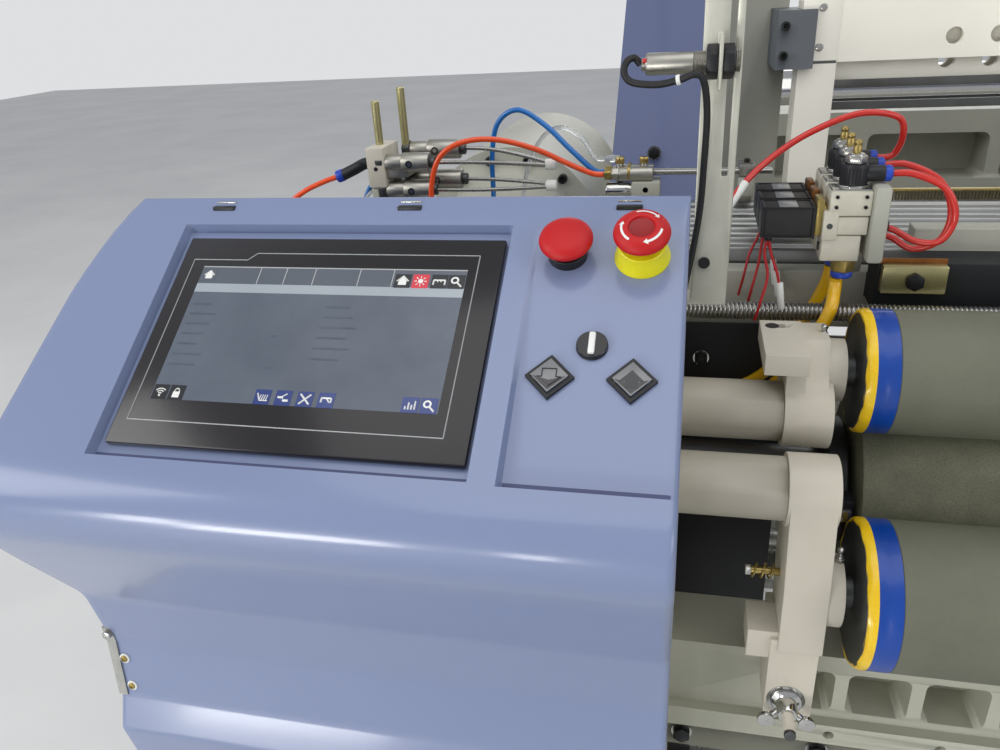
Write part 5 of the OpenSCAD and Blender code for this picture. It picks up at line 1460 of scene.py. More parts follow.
@dataclass
class AirNozzles:
    """Main nozzles on the sley and the tandem nozzles behind the console."""

    def hoses(self) -> None:
        """Builds the three hoses that flex with the sley."""
        form = Form("flexing_hoses")
        form.tube([(-1237.7, -187, 1125), (-1250, -187, 1126), (-1276, -192, 1138),
                   (-1310, -202, 1156), (-1350, -211, 1168), (-1386, -217, 1167),
                   (-1412, -220, 1152), (-1424, -221, 1120), (-1425, -218, 1085),
                   (-1425, -202, 1054), (-1425, -200, 1039.7)], 3.0, Look.TUBE_ORANGE, 5)
        form.tube([(-1237.7, -173, 1125), (-1250, -173, 1127), (-1276, -166, 1148),
                   (-1306, -157, 1174), (-1337, -150, 1190), (-1362, -146, 1176),
                   (-1371, -146, 1140), (-1371, -152, 1090), (-1370, -178, 1054),
                   (-1370, -180, 1039.7)], 3.0, Look.TUBE_BLUE, 5)
        form.tube([(-1237.7, -179, 1140), (-1248, -179, 1142), (-1264, -164, 1160),
                   (-1288, -150, 1170), (-1312, -140, 1158), (-1330, -138, 1126),
                   (-1337, -148, 1085), (-1338, -178, 1054), (-1338, -180, 1039.7)], 2.5,
                  Look.TUBE_CLEAR, 5)
        piece = form.finish_off(None, Slot.HOSE, ["nozzle_hoses"])
        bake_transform(piece)

    def main_pair(self) -> None:
        """Builds the pair of nozzles that rides on the sley."""
        form = Form("sley_nozzles")
        form.box((-1207, -198, 1099), (-1177, -165, 1118), Look.CAST_GREY, 1.6)
        form.box((-1229, -168, 1089), (-1183, -159, 1101), Look.NICKEL, 1.0)
        form.box((-1235, -182, 1099), (-1207, -165, 1112), Look.NICKEL, 1.2)
        form.lathe((-1235, -189.5, 1108), RIGHT, [
            (0, 0), (6.2, 0), (8, 0.8), (8.4, 2), (8.4, 24), (7.4, 26), (7.4, 31), (0, 31)],
            Look.CHROME, 40)
        for y, inward in ((-187, 4), (-173, -3)):
            form.rod((-1237, y, 1125), (-1229, y, 1125), 6.2, Look.BRASS, 6, 0.8)
            form.rod((-1229, y, 1125), (-1221, y, 1125), 7.4, Look.NICKEL, 6, 0.8, turn=20)
            form.rod((-1221, y, 1125), (-1185, y, 1125), 8, Look.NICKEL, 36, 1.0)
            form.rod((-1212, y, 1126), (-1209, y, 1126), 8.5, Look.BRASS, 36, 0.4)
            form.rod((-1186, y + inward, 1126), (-1062, y + inward, 1126), 3.0, Look.STEEL, 24,
                     0.6)
        form.rod((-1237, -179, 1140), (-1221, -179, 1140), 4, Look.TUBE_CLEAR, 24, 0.5)
        for x in (-1221, -1195):
            form.rod((x, -179, 1112), (x, -179, 1136), 3.5, Look.STEEL, 20, 0.5)
            form.rod((x, -179, 1135), (x, -179, 1142), 5.6, Look.BRASS, 6, 0.8)
        form.box((-1096, -188, 1100), (-1080, -164, 1120), Look.CAST_GREY, 1.4)
        form.box((-1096, -188, 1121), (-1080, -164, 1134), Look.NICKEL, 1.4)
        form.box((-1096, -168, 1089), (-1080, -159, 1102), Look.NICKEL, 0.8)
        form.socket_screw((-1088, -176, 1133.5), UP, 4.0)
        for y in (-198, -160):
            form.rod((-1192, y, 1110), (-1192, y + 2, 1110), 3.0, Look.BOLT, 16)
        form.finish_off("sley", Slot.BRIGHT, ["main_nozzles"])

    def tandem(self) -> None:
        """Builds the fixed nozzles, their clamp, rods and bracket."""
        form = Form("tandem_group")
        form.box((-1500, -214, 1118), (-1479, -161, 1162), Look.CAST, 1.6)
        form.box((-1498, -212, 1104), (-1481, -163, 1117), Look.CAST_PALE, 1.6)
        form.box((-1480, -210, 1128), (-1454, -161, 1146), Look.NICKEL, 1.6)
        form.box((-1480, -210, 1104), (-1458, -163, 1122), Look.NICKEL, 1.6)
        form.rod((-1489.5, -214.3, 1139), (-1489.5, -212, 1139), 2.4, Look.BLACK, 20)
        places = ((-204, 1144, -186, 1135), (-168, 1152, -182, 1137), (-204, 1114, -186, 1112),
                  (-168, 1118, -182, 1114))
        for index, (y, z, end_y, end_z) in enumerate(places):
            x = -1490 + 20 * (index % 2)
            far = -1422 + 26 * (index % 2)
            form.rod((x, y, z), (x + 9, y, z), 11.6, Look.STEEL_DARK, 6, 1.0, turn=10)
            form.rod((x + 9, y, z), (x + 30, y, z), 9.4, Look.NICKEL, 40, 1.2)
            form.rod((x + 30, y, z), (far - 6, y, z), 11, Look.NICKEL, 40, 1.6)
            form.rod((far - 6, y, z), (far, y, z), 6.5, Look.STEEL_DARK, 28, 1.0)
            form.rod((x + 40, y - 11.2, z), (x + 40, y - 9, z), 4.0, Look.BLACK, 24)
            form.rod((x + 40, y - 11.3, z), (x + 40, y - 10.2, z), 2.4, Look.CHROME, 20)
            form.tube([(x + 10, y, z), (-1370, y, z - 1), (-1295, end_y, end_z)], 2.2,
                      Look.STEEL, 4)
        for step in (0, 1):
            z = 1136 - 23 * step
            form.rod((-1302, -184, z), (-1290, -184, z), 6, Look.WHITE, 28, 1.2)
        form.finish_off("root", Slot.BRIGHT, ["tandem_nozzles"])
        rods = Form("clamp_rods")
        for x, y, top in ((-1491, -189, 1209), (-1466, -172, 1221)):
            rods.lathe((x, y, 980), UP, [
                (0, 0), (4.5, 0), (4.5, top - 981), (3.6, top - 980), (0, top - 980)],
                Look.BRASS_ROD, 32)
        rods.finish_off("root", Slot.BRASS, ["tandem_posts"])
        foot = Form("tandem_foot")
        foot.model_copy("tandem_bracket", Look.CAST_GREY, 1.5)
        for x in (-1510, -1300):
            foot.socket_screw((x, -186, 996), UP, 8.0)
        foot.finish_off("root", Slot.BEAM, ["tandem_bracket"])

    def supply(self) -> None:
        """Builds the push-in elbow and the supply tubes that leave to the left."""
        form = Form("supply_tubes")
        form.tube([(-1488, -204, 1144), (-1504, -205, 1144), (-1518, -207, 1138),
                   (-1532, -208, 1132)], 6.4, Look.BLACK, 6)
        form.rod((-1508, -211.5, 1142), (-1508, -203, 1143), 5.0, Look.BLACK, 24, 0.8)
        form.rod((-1531, -208, 1132.4), (-1539, -208.5, 1130), 6.9, Look.COLLAR_BLUE, 28, 1.0)
        form.tube([(-1537, -208.4, 1130.6), (-1556, -210, 1125), (-1582, -214, 1114),
                   (-1606, -220, 1096), (-1618, -226, 1070), (-1620, -228, 1040),
                   (-1616, -226, 1008)], 3.0, Look.TUBE_ORANGE, 5)
        form.tube([(-1500, -168, 1118), (-1514, -170, 1112), (-1522, -176, 1096),
                   (-1524, -182, 1070), (-1522, -186, 1040), (-1518, -188, 997)], 3.0,
                  Look.TUBE_BLUE, 5)
        form.tube([(-1482, -204, 1114), (-1500, -207, 1112), (-1510, -208, 1098),
                   (-1512, -208, 1070), (-1510, -206, 1040), (-1508, -200, 997)], 2.5,
                  Look.TUBE_CLEAR, 5)
        form.finish_off("root", Slot.HOSE)

    def build(self) -> None:
        """Builds the whole group."""
        self.hoses()
        self.main_pair()
        self.tandem()
        self.supply()


@dataclass
class YarnSensor:
    """Photoelectric sensor on its slotted strip, with its cable."""

    eye: Pair = (-384.0, 1252.0)

    def build(self) -> None:
        """Builds the sensor, its strip and its cable."""
        y, z = self.eye
        cable = Form("sensor_lead")
        cable.tube([(-1188.7, -384, 1252), (-1193, -385, 1257), (-1198, -389, 1256),
                    (-1201, -392, 1250), (-1199, -394, 1243.5), (-1192, -396, 1239.5),
                    (-1174, -399, 1238.2), (-1157.4, -401.5, 1241.5),
                    (-1146.3, -402.5, 1245), (-1139.4, -400, 1239.5), (-1135.5, -390, 1213),
                    (-1135.8, -379, 1171), (-1137.2, -374, 1131), (-1143, -372, 1085),
                    (-1149, -371, 1049.7)], 2.8, Look.CABLE, 5)
        cable.rod((-1160, -401.1, 1241), (-1157, -401.6, 1241.6), 4.0, Look.WHITE, 20, 0.5)
        cable.finish_off("root", Slot.CABLE, ["sensor_cable"])
        form = Form("sensor_barrel")
        form.lathe((-1188, y, z), RIGHT, [
            (0, 0), (4.2, 0), (5, 0.6), (5, 3), (7.6, 3.6), (8.4, 5), (8.4, 40)],
            Look.NICKEL, 40)
        thread = [(8.6 if step % 2 else 7.9, 40 + step * 0.75) for step in range(48)]
        form.lathe((-1188, y, z), RIGHT, thread + [(0, 76)], Look.NICKEL, 32)
        form.rod((-1186.5, y - 6.0, z + 3.2), (-1183.5, y - 6.6, z + 3.2), 1.8,
                 Look.WIRE_RED, 14)
        for x in (-1138, -1126):
            form.rod((x, y, z), (x + 9, y, z), 13.5, Look.BLACK, 6, 1.2)
            form.rod((x - 0.4, y, z), (x + 9.4, y, z), 10.6, Look.STEEL_DARK, 32)
        form.finish_off("root", Slot.BRIGHT, ["sensor"])
        strip = Form("sensor_strip")
        strip.model_copy("sensor_plate", Look.STRIP, 0.8, 1)
        strip.rod((-1125, -371, 1325), (-1125, -365, 1325), 4.4, Look.BOLT, 6)
        strip.rod((-1131, -371.5, 1085), (-1131, -368, 1085), 5.0, Look.BOLT, 20)
        strip.finish_off("root", Slot.BRIGHT, ["sensor_plate"])


@dataclass
class TakeUp:
    """Rollers that draw the cloth down, with the tape and film left on their ends."""

    tape_end: float = 992.0
    tape_width: float = 21.0
    axle: float = 1046.0
    upper: tuple[Pair, float] = ((-376.312, 989.62), 55.0)
    lower: tuple[Pair, float] = ((-486.86, 833.36), 63.0)
    emery: Pair = (-340.0, 854.0)
    guide: Pair = (-314.0, 1020.0)
    wound: Pair = (-330.0, 380.0)

    def film(self, form: Form, side: int, at: Pair, radius: float, seed: int) -> None:
        """Wraps the yellow film round one end and folds it in over the end face.

        Args:
            form: the roller's form.
            side: -1 for the left end, 1 for the right one.
            at: the roller's place, as Y and Z.
            radius: the roller's radius.
            seed: makes the creases differ.
        """
        chance = random.Random(seed)
        steps = 120
        creases = [chance.uniform(-1.0, 1.0) for _ in range(steps)]
        for _ in range(3):
            creases = [(creases[k - 1] + creases[k] + creases[(k + 1) % steps]) / 3
                       for k in range(steps)]
        stations = ((-3.0, 0.3, 0.0), (0.0, 0.35, 0.1), (2.4, -0.1, 0.5), (4.4, -1.2, 1.0),
                    (5.2, -2.8, 1.3), (4.8, -4.4, 1.4), (3.4, -5.6, 1.2), (3.0, -7.0, 1.0),
                    (4.0, -8.4, 1.1), (3.8, -11.0, 1.0), (2.4, -13.0, 0.8))
        part = bmesh.new()
        rings: list[list[bmesh.types.BMVert]] = []
        for index, (out, lift, share) in enumerate(stations):
            ring = []
            for k in range(steps):
                angle = math.tau * k / steps
                shift = creases[(k + 7 * index) % steps] * share
                fold = 0.25 * share * math.sin(angle * 7 + seed + index * 0.3)
                reach = side * (self.tape_end + out + shift * 0.8)
                size = radius + lift + shift * 0.5 + fold
                ring.append(part.verts.new((reach, at[0] + size * math.cos(angle),
                                            at[1] + size * math.sin(angle))))
            rings.append(ring)
        for near, far in zip(rings, rings[1:]):
            for k in range(steps):
                part.faces.new((near[k], near[(k + 1) % steps], far[(k + 1) % steps], far[k]))
        bmesh.ops.recalc_face_normals(part, faces=part.faces)
        bmesh.ops.solidify(part, geom=part.faces, thickness=0.3)
        form.take(part, Look.FILM)

    def press_roller(self, name: str, node: str, at: Pair, radius: float, seed: int) -> None:
        """Builds one press roller."""
        form = Form(name)
        y, z = at
        inner = self.tape_end - self.tape_width
        form.lathe((-inner, y, z), RIGHT, [
            (radius - 0.8, 0), (radius, 0.8), (radius, 2 * inner - 0.8),
            (radius - 0.8, 2 * inner)], Look.RUBBER, 112)
        for side in (-1, 1):
            base = (side * inner, y, z)
            width = self.tape_width
            form.lathe(base, (side, 0, 0), [
                (radius - 0.8, 0), (radius + 0.12, 0.1), (radius + 0.12, width * 0.45),
                (radius + 0.02, width * 0.46), (radius + 0.14, width * 0.7),
                (radius + 0.12, width - 0.4), (radius - 1.2, width)], Look.TAPE, 112)
            form.lathe(base, (side, 0, 0), [
                (radius - 1.2, width), (radius - 2.4, width + 5), (20, width + 5),
                (14, width + 6), (14, self.axle - inner - 0.6), (13, self.axle - inner),
                (0, self.axle - inner)], Look.STEEL_DARK, 64)
            self.film(form, side, at, radius, seed + side)
        form.finish_off("upper_roller" if "upper" in node else "lower_roller", Slot.RUBBER, [node])

    def surface(self) -> None:
        """Builds the emery covered roller and the dark bearing carriers beside it."""
        form = Form("emery_roller")
        y, z = self.emery
        form.lathe((-984, y, z), RIGHT, [
            (30, 0), (80, 0), (84, 1.2), (85, 3), (85, 1965), (84, 1966.8), (80, 1968),
            (30, 1968)], Look.EMERY, 144)
        for side in (-1, 1):
            form.lathe((side * 984, y, z), (side, 0, 0), [
                (30, 0), (30, 305), (29, 306), (0, 306)], Look.STEEL_DARK, 48)
        form.finish_off("surface", Slot.EMERY, ["surface_roller"])
        carrier = Form("bearing_carriers")
        for side in (-1, 1):
            base = (side * 989, y, z)
            carrier.lathe(base, (side, 0, 0), [
                (31, 0), (58, 0), (62, 3), (62, 18), (58, 22), (31, 22), (31, 0)],
                Look.BLACK, 48)
            for angle in (38, 128, 218, 308):
                a = math.radians(angle)
                spot = Vector((side * 1010.8, y + 47 * math.cos(a), z + 47 * math.sin(a)))
                carrier.rod(spot, spot + Vector((side * 4.2, 0, 0)), 6.4, Look.BOLT, 6, 0.5)
            carrier.box((side * 996 - 9, y - 76, z - 22), (side * 996 + 9, y - 52, z + 22),
                        Look.BLACK, 2.0)
            carrier.box((side * 996 - 6, y - 80, z + 2), (side * 996 + 6, y - 75, z + 14),
                        Look.ZINC, 1.0)
        carrier.finish_off("root", Slot.DARK)

    def threaded(self) -> None:
        """Builds the fine threaded guide roller."""
        form = Form("fine_thread_roller")
        y, z = self.guide
        profile: list[Pair] = [(0, -60), (6, -60), (6, 0)]
        reach = 2296.0
        pitch = 4.0
        count = int(reach / pitch)
        profile.append((8.0, 2))
        for step in range(count):
            x = 2 + step * pitch
            profile += [(9.0, x + 1.1), (9.0, x + 2.4), (7.7, x + 3.5)]
        profile += [(6, reach), (6, reach + 60), (0, reach + 60)]
        form.lathe((-1148, y, z), RIGHT, profile, Look.STEEL, 14)
        form.finish_off("guide", Slot.BRIGHT, ["threaded_roller"], 50.0)

    def cloth(self) -> None:
        """Builds the cloth roller."""
        form = Form("cloth_beam")
        y, z = self.wound
        form.lathe((-1220, y, z), RIGHT, [
            (0, 0), (19, 0), (20, 1), (20, 90), (46, 90), (50, 94), (50, 2346), (46, 2350),
            (20, 2350), (20, 2439), (19, 2440), (0, 2440)], Look.STEEL, 72)
        for x in (-1128, 1128):
            form.rod((x - 14, y, z), (x + 14, y, z), 53, Look.STEEL_DARK, 56, 1.5)
        form.finish_off("cloth", Slot.BRIGHT, ["cloth_roller"])

    def build(self) -> None:
        """Builds every roller."""
        self.press_roller("upper_rubber_roller", "upper_press_roller", *self.upper, 4)
        self.press_roller("lower_rubber_roller", "lower_press_roller", *self.lower, 9)
        self.surface()
        self.threaded()
        self.cloth()


@dataclass
class PressLevers:
    """Cream castings that carry the press rollers, with their studs and wing nuts."""

    inner: float = 1018.0
    outer: float = 1058.0
    stud: Pair = (-520.0, 733.0)
    spring: Pair = (-486.0, 846.0)

    def nipple(self, form: Form, at: Point, aim: Point) -> None:
        """Adds one grease nipple."""
        out = Vector(aim).normalized()
        base = Vector(at)
        form.rod(base, base + out * 3.5, 4.6, Look.ZINC, 6, 0.4)
        form.lathe(at, aim, [(3.2, 3.4), (3.2, 6), (2.2, 7), (2.0, 9), (3.0, 10.2), (3.0, 12),
                             (1.6, 13.6), (0, 14)], Look.ZINC, 20)

    def upper(self) -> None:
        """Builds the upper pair."""
        form = Form("upper_castings")
        form.model_copy("upper_levers", Look.CAST, 2.4, 3, 3.0)
        for side in (-1, 1):
            x = side * (self.inner + 6)
            self.nipple(form, (x, -374, 1017.3), (0.1 * side, 0.2, 1))
            form.rod((side * (self.outer + 10), -362, 1023.6), (side * (self.outer + 10), -362,
                                                               1024.3), 6.0, Look.BLACK, 24)
        form.finish_off("upper_arm", Slot.BEAM, ["upper_levers"], 34.0)

    def lower(self) -> None:
        """Builds the lower pair with its adjusting studs."""
        form = Form("lower_castings")
        form.model_copy("lower_levers", Look.CAST, 2.4, 3, 3.0)
        face, low = self.stud
        y, z = self.spring
        for side in (-1, 1):
            x, out = side * (self.outer - 14), side * self.outer
            form.rod((x, face - 40, low), (x, face, low), 4.9, Look.STEEL_DARK, 24, 0.8)
            form.lathe((x, face, low), FRONT, [
                (5.2, -0.6), (16, -0.6), (16.4, 0), (16.4, 0.2), (5.2, 0.2)], Look.ZINC, 36)
            coil = [(out + side * (2 + 1.25 * k), y + 6.2 * math.cos(k * 1.1),
                     z + 6.2 * math.sin(k * 1.1)) for k in range(17)]
            form.rod((out - side * 3, y, z), (out + side * 23, y, z), 3.4, Look.BRASS, 20, 0.5)
            form.tube(coil, 0.9, Look.BRASS, 2)
            form.rod((out + side * 22, y, z), (out + side * 27, y, z), 5.2, Look.ZINC, 6, 0.5)
            self.nipple(form, (side * (self.inner - 8), y - 1, z + 18), UP)
        form.finish_off("lower_arm", Slot.BEAM, ["lower_levers"], 34.0)

    def wing_nut(self, side: int) -> None:
        """Builds one wing nut."""
        name = "left" if side < 0 else "right"
        form = Form(f"{name}_wing")
        x, (face, z) = side * (self.outer - 14), self.stud
        form.lathe((x, face - 0.3, z), FRONT, [
            (5.1, 0), (12.6, 0), (13, 0.6), (13, 3), (11.4, 4), (9, 5), (8.4, 16.6), (7.6, 17.7),
            (5.1, 17.7), (5.1, 0)], Look.CHROME, 36)
        droop = math.radians(32)
        for wing in (-1, 1):
            way = Vector((wing * math.cos(droop), 0, -math.sin(droop)))
            start, tip = Vector((x, face - 9, z)) + way * 7, Vector((x, face - 14, z)) + way * 20
            form.rod(start, tip, 3.0, Look.CHROME, 20, 0.6, 3.6)
            form.rod(tip + Vector((0, 2.4, 0)), tip - Vector((0, 2.4, 0)), 7.4, Look.CHROME, 28,
                     1.4)
        form.finish_off(f"wing_{name}", Slot.BRIGHT, [f"wing_nut_{name}"])

    def build(self) -> None:
        """Builds the levers and their nuts."""
        self.upper()
        self.lower()
        self.wing_nut(-1)
        self.wing_nut(1)


@dataclass
class HealdStack:
    """Heald frames, their guides and the blue uprights."""

    half: float = 1034.0

    def frames(self) -> None:
        """Builds the four frames with their rivets and end caps."""
        for index in range(4):
            form = Form(f"heald_bars_{index + 1}")
            y0 = -69.0 + 14.0 * index
            top = 1316.0 - 25.0 * (index % 2)
            form.model_copy(
                f"heald_frame_{index + 1}", Look.HEALD, 0.7, 1, 3.0,
                lambda spot, t=top: Look.RAIL if (t - 126 < spot.z < t - 112
                                                      or t - 446 < spot.z < t - 433) else None)
            for side in (-1, 1):
                for z in (top - 14, top - 40, top - 80, top - 468, top - 490, top - 530):
                    form.rod((side * (self.half - 20.5), y0 - 1.2, z),
                             (side * (self.half - 20.5), y0 + 10.2, z), 4.2, Look.ZINC, 18, 0.6)
                form.box((side * (self.half - 20) - 19.5, y0 - 0.15, top - 97),
                         (side * (self.half - 20) + 19.5, y0 + 9.15, top - 94), Look.RAIL, 0.1)
            form.box((-self.half + 42, y0 + 0.5, top - 6), (self.half - 42, y0 + 8.5, top - 0.2),
                     Look.RAIL, 0.6)
            form.finish_off(f"heald_{index + 1}", Slot.HEALD, [f"heald_frame_{index + 1}"])

    def uprights(self) -> None:
        """Builds both uprights, their guide blocks and the top beam."""
        def pick(spot: Vector) -> Optional[Finish]:
            """Gives the guide blocks and the guide plate their own finishes."""
            if abs(spot.x) < 1062.0:
                return Look.GUIDE
            if abs(spot.x) < 1128.5 and 19.5 < spot.y < 24.5:
                return Look.CAST_GREY
            return None
        for side in ("left", "right"):
            form = Form(f"{side}_post")
            form.model_copy(f"{side}_upright", Look.PANEL_BLUE, 1.6, 2, 6.0, pick)
            sign = -1 if side == "left" else 1
            for z in (845, 875, 1230, 1260):
                form.socket_screw((sign * 1052, -81.2, z), FRONT, 6.0)
            for z in (1010, 1120, 1400, 1500):
                form.bolt((sign * 1190, -39, z), FRONT, 8.0)
            form.finish_off("root", Slot.PANEL, [f"{side}_upright"])
        beam = Form("top_bridge")
        beam.model_copy("top_beam", Look.PANEL_BLUE, 2.0, 2, 6.0)
        beam.finish_off("root", Slot.PANEL, ["top_beam"])

    def build(self) -> None:
        """Builds the whole stack."""
        self.frames()
        self.uprights()


@dataclass
class Sley:
    """Ribbed sley with the reed and the rocking shaft."""

    half: float = 950.0

    def build(self) -> None:
        """Builds the sley's visible pieces."""
        form = Form("reed_dents")
        form.box((-self.half, -157.6, 1042), (self.half, -150.4, 1076), Look.STEEL_DARK, 1.0)
        for z in (1076, 1097.5):
            form.box((-self.half, -157.7, z), (self.half, -150.3, z + 2.5), Look.BRASS, 0.8)
        pitch, count = 3.2, int(2 * (self.half - 4) / 3.2)
        part = bmesh.new()
        for step in range(count):
            x = -self.half + 4 + pitch * step
            corners = [part.verts.new(spot) for spot in (
                (x, -157.4, 1078), (x + 1.5, -157.4, 1078), (x + 1.5, -157.4, 1098),
                (x, -157.4, 1098), (x, -150.6, 1078), (x + 1.5, -150.6, 1078),
                (x + 1.5, -150.6, 1098), (x, -150.6, 1098))]
            for face in ((0, 1, 2, 3), (5, 4, 7, 6), (1, 5, 6, 2), (4, 0, 3, 7)):
                part.faces.new([corners[k] for k in face])
        form.take(part, Look.REED, False)
        form.finish_off("sley", Slot.REED, ["reed"])
        shaft = Form("sword_shaft")
        shaft.model_copy("rocking_shaft", Look.CAST_GREY, 2.0, 2, 6.0,
                         lambda spot: Look.STEEL if math.hypot(
                             spot.y + 150, spot.z - 600) < 41 else None)
        shaft.finish_off("sley", Slot.DARK, ["rocking_shaft"])
        beam = Form("ribbed_section")
        beam.model_copy("sley_beam", Look.SLEY, 0.5, 1, 20.0)
        for side in (-1, 1):
            for x in (1190, 1225):
                beam.socket_screw((side * x, -206.5, 1022), FRONT, 8.0)
        beam.finish_off("sley", Slot.SLEY, ["sley_beam"])


@dataclass
class Framework:
    """Side frames, cross beams, gear box, door and the dark sheets of painted shade inside the
    frames.
    """

    def side_frames(self) -> None:
        """Builds the two cast frames with their bolts."""
        for side in ("left", "right"):
            sign = -1 if side == "left" else 1
            form = Form(f"{side}_casting")
            form.model_copy(f"{side}_frame", Look.CAST_PALE, 3.0, 2, 12.0,
                            lambda spot: Look.CAST_SHADE if abs(spot.x) < 1149 else None)
            for y in (-530, 530):
                form.bolt((sign * 1335, y, 40), UP, 20.0)
            for y, z in ((-260, 854), (-400, 854), (-340, 790), (-340, 918)):
                form.bolt((sign * 1300, y, z), (sign, 0, 0), 10.0)
            for y, z in ((-540, 1000), (-320, 1000), (200, 955), (520, 955)):
                form.bolt((sign * 1300, y, z), (sign, 0, 0), 12.0)
            form.finish_off("root", Slot.FRAME, [f"{side}_frame"])

    def beams(self) -> None:
        """Builds the front, rear and temple beams."""
        front = Form("front_casting")
        front.model_copy("front_beam", Look.CAST_PALE, 2.2, 2, 4.0)
        for sign in (-1, 1):
            for x in (1130, 1000):
                front.bolt((sign * x, -469, 620), FRONT, 10.0)
        front.finish_off("root", Slot.BEAM, ["front_beam"])
        rear = Form("rear_casting")
        rear.model_copy("rear_beam", Look.CAST_GREY, 3.5, 3, 6.0)
        rear.finish_off("root", Slot.BEAM, ["rear_beam"])
        temple = Form("temple_rail")
        temple.model_copy("temple_beam", Look.CAST_GREY, 1.4, 2, 6.0,
                          lambda spot: Look.DARK_PAINT_AND_SHADE if spot.y < -252.3 else None)
        for step in range(-4, 5):
            temple.socket_screw((step * 200 + 60, -252.3, 1073), FRONT, 6.0)
        temple.finish_off("root", Slot.BEAM, ["temple_beam"])
        blocks = Form("temple_clamps")
        for step in range(-5, 6):
            x = step * 188.0
            blocks.box((x - 28, -302, 1035), (x + 28, -290.2, 1062), Look.BRASS_ROD, 1.6)
            blocks.box((x - 29, -289.9, 1030), (x + 29, -288, 1066), Look.COPPER, 0.6)
            blocks.rod((x, -302, 1048), (x, -308, 1048), 8.6, Look.BOLT, 6, 1.0)
            blocks.rod((x, -308, 1048), (x, -309.4, 1048), 6.0, Look.BOLT, 20, 0.8)
        blocks.finish_off("root", Slot.BRASS, ["temple_blocks"])

    def shade_sheets(self) -> None:
        """Builds dark sheets inside each frame, under the temple beam, as painted shade where the
        machine's interior lies in shadow.
        """
        form = Form("painted_shade_sheets")
        # Each sheet is painted shade: a dark plate where the inside of the frame lies in shadow.
        for side in (-1, 1):
            for y, back, outer in ((-262, -259, 1149), (-259, -241, 1040)):
                near, far = sorted((side * 1036, side * outer))
                form.box((near, y, 560), (far, back, 985), Look.DARK_PAINT_AND_SHADE, 0.8)
            for z in (600, 770, 945):
                form.bolt((side * 1126, -262, z), FRONT, 8.0)
        form.finish_off("root", Slot.DARK)

    def gear_box(self) -> None:
        """Builds the shedding box with its round casting."""
        form = Form("shedding_casting")
        form.model_copy("shedding_box", Look.CAST_GREY, 4.0, 3, 10.0,
                        lambda spot: Look.ZINC if spot.x < -1630 and spot.y > 325 else None)
        for angle in range(20, 161, 28):
            a = math.radians(angle)
            form.socket_screw((-1383 + 108 * math.cos(a), 0.4, 1001 + 108 * math.sin(a)),
                              FRONT, 8.0)
        form.finish_off("root", Slot.VALVE, ["shedding_box"])

    def door(self) -> None:
        """Builds the door and its toggle latch."""
        form = Form("blue_door")
        form.model_copy("side_door", Look.PANEL_BLUE, 1.4, 2, 6.0)
        form.finish_off("door", Slot.PANEL, ["side_door"])
        latch = Form("toggle")
        latch.model_copy("door_latch", Look.BLACK, 1.2, 2, 3.0)
        latch.lathe((-1682.3, -535, 712), (-1, 0, 0), [(0, 0.1), (6, 0.1), (5, 1.6), (0, 1.6)],
                    Look.ZINC, 20)
        latch.finish_off("latch", Slot.LATCH, ["door_latch"])

    def build(self) -> None:
        """Builds the whole framework."""
        self.side_frames()
        self.beams()
        self.shade_sheets()
        self.gear_box()
        self.door()


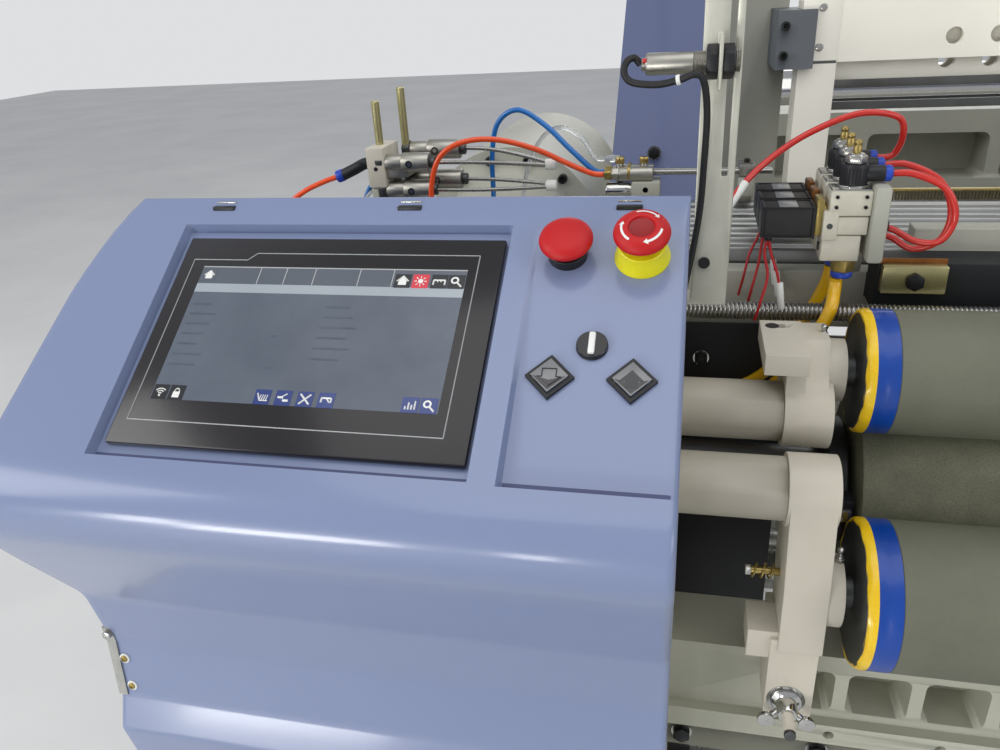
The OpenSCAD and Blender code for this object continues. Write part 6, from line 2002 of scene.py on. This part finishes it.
@dataclass
class WarpSide:
    """Warp beam, let-off pinion, back roller and its levers."""

    axle: Pair = (560.0, 480.0)

    def build(self) -> None:
        """Builds the back of the loom."""
        form = Form("warp_flanges")
        form.model_copy("warp_beam", Look.STEEL_DARK, 1.2, 2, 8.0,
                        lambda spot: Look.CAST_GREY if 942 < abs(spot.x) < 958 else None)
        y, z = self.axle
        for side in (-1, 1):
            for low, high, height in ((388, 397, 8.0), (240, 246, 5.0), (96, 130, 9.0)):
                form.lathe((side * 956, y, z), (side, 0, 0), [
                    (low, 0), (low, height - 1.5), (low + 1.5, height), (high - 1.5, height),
                    (high, height - 1.5), (high, 0)], Look.CAST_GREY, 96)
            for spoke in range(12):
                a = math.radians(spoke * 30 + 15)
                along = Vector((0, math.cos(a), math.sin(a)))
                over = Vector((0, -math.sin(a), math.cos(a)))
                base = Vector((side * 956.5, y, z))
                outline = [base + along * 128 + over * 4, base + along * 128 - over * 4,
                           base + along * 390 - over * 3, base + along * 390 + over * 3]
                form.prism([tuple(spot) for spot in outline], (side * 6, 0, 0),
                           Look.CAST_GREY, 0.8)
            for hole in range(6):
                a = math.radians(hole * 60)
                spot = (side * 964.8, y + 113 * math.cos(a), z + 113 * math.sin(a))
                form.rod(spot, (spot[0] + side * 6, spot[1], spot[2]), 8, Look.BOLT, 6, 0.8)
        form.finish_off("beam", Slot.DARK, ["warp_beam"])
        for node, body, slot, finish, edge in (
                ("letoff_pinion", "pinion", Slot.DARK, Look.STEEL_DARK, 0.6),
                ("easing_levers", "easing", Slot.BEAM, Look.CAST, 2.0)):
            piece = Form(f"{node}_finished")
            piece.model_copy(node, finish, edge, 2, 4.0)
            piece.finish_off(body, slot, [node])
        roller = Form("smooth_back_roller")
        roller.lathe((-1142, 800, 1075), RIGHT, [
            (0, 0), (14, 0), (15, 1), (15, 32), (56, 32), (60, 36), (60, 2248), (56, 2252),
            (15, 2252), (15, 2283), (14, 2284), (0, 2284)], Look.CHROME, 96)
        roller.finish_off("back", Slot.CHROME, ["back_roller"])


@dataclass
class DriveSide:
    """Main shaft, hand wheel, motor, pulleys and belt."""

    def build(self) -> None:
        """Builds the drive behind the door."""
        for name, node, body, slot, finish, edge in (
                ("drive_shaft", "main_shaft", "drive", Slot.DARK, Look.STEEL_DARK, 1.2),
                ("inching_wheel", "hand_wheel", "drive", Slot.BEZEL, Look.BLACK, 3.0),
                ("belt_loop", "drive_belt", "root", Slot.BELT, Look.BELT, 0.5),
                ("motor_sheave", "motor_pulley", "motor", Slot.DARK, Look.STEEL_DARK, 1.2)):
            form = Form(name)
            form.model_copy(node, finish, edge, 2, 3.0)
            form.finish_off(body, slot, [node])
        motor = Form("finned_motor")
        motor.model_copy("main_motor", Look.MOTOR, 1.4, 2, 3.0)
        for angle in range(0, 360, 90):
            a = math.radians(angle + 45)
            motor.bolt((-1314, -300 + 108 * math.cos(a), 330 + 108 * math.sin(a)), (-1, 0, 0),
                       8.0)
        for x in (-1470, -1380):
            motor.socket_screw((x, -338, 480), UP, 5.0)
        motor.finish_off("root", Slot.MOTOR, ["main_motor"])


def main() -> None:
    """Builds the whole scene in order."""
    logging.basicConfig(level=logging.INFO, format="%(message)s")
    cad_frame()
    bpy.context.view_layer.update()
    Studio().build()
    for group in (AirNozzles(), RelayValves(), YarnSensor(), ConsoleCover(),
                  ConsoleCover(mirrored=True), TouchScreen(), Switches(), TakeUp(),
                  PressLevers(), HealdStack(), Sley(), Framework(), WarpSide(), DriveSide()):
        group.build()


if __name__ == "__main__":
    main()
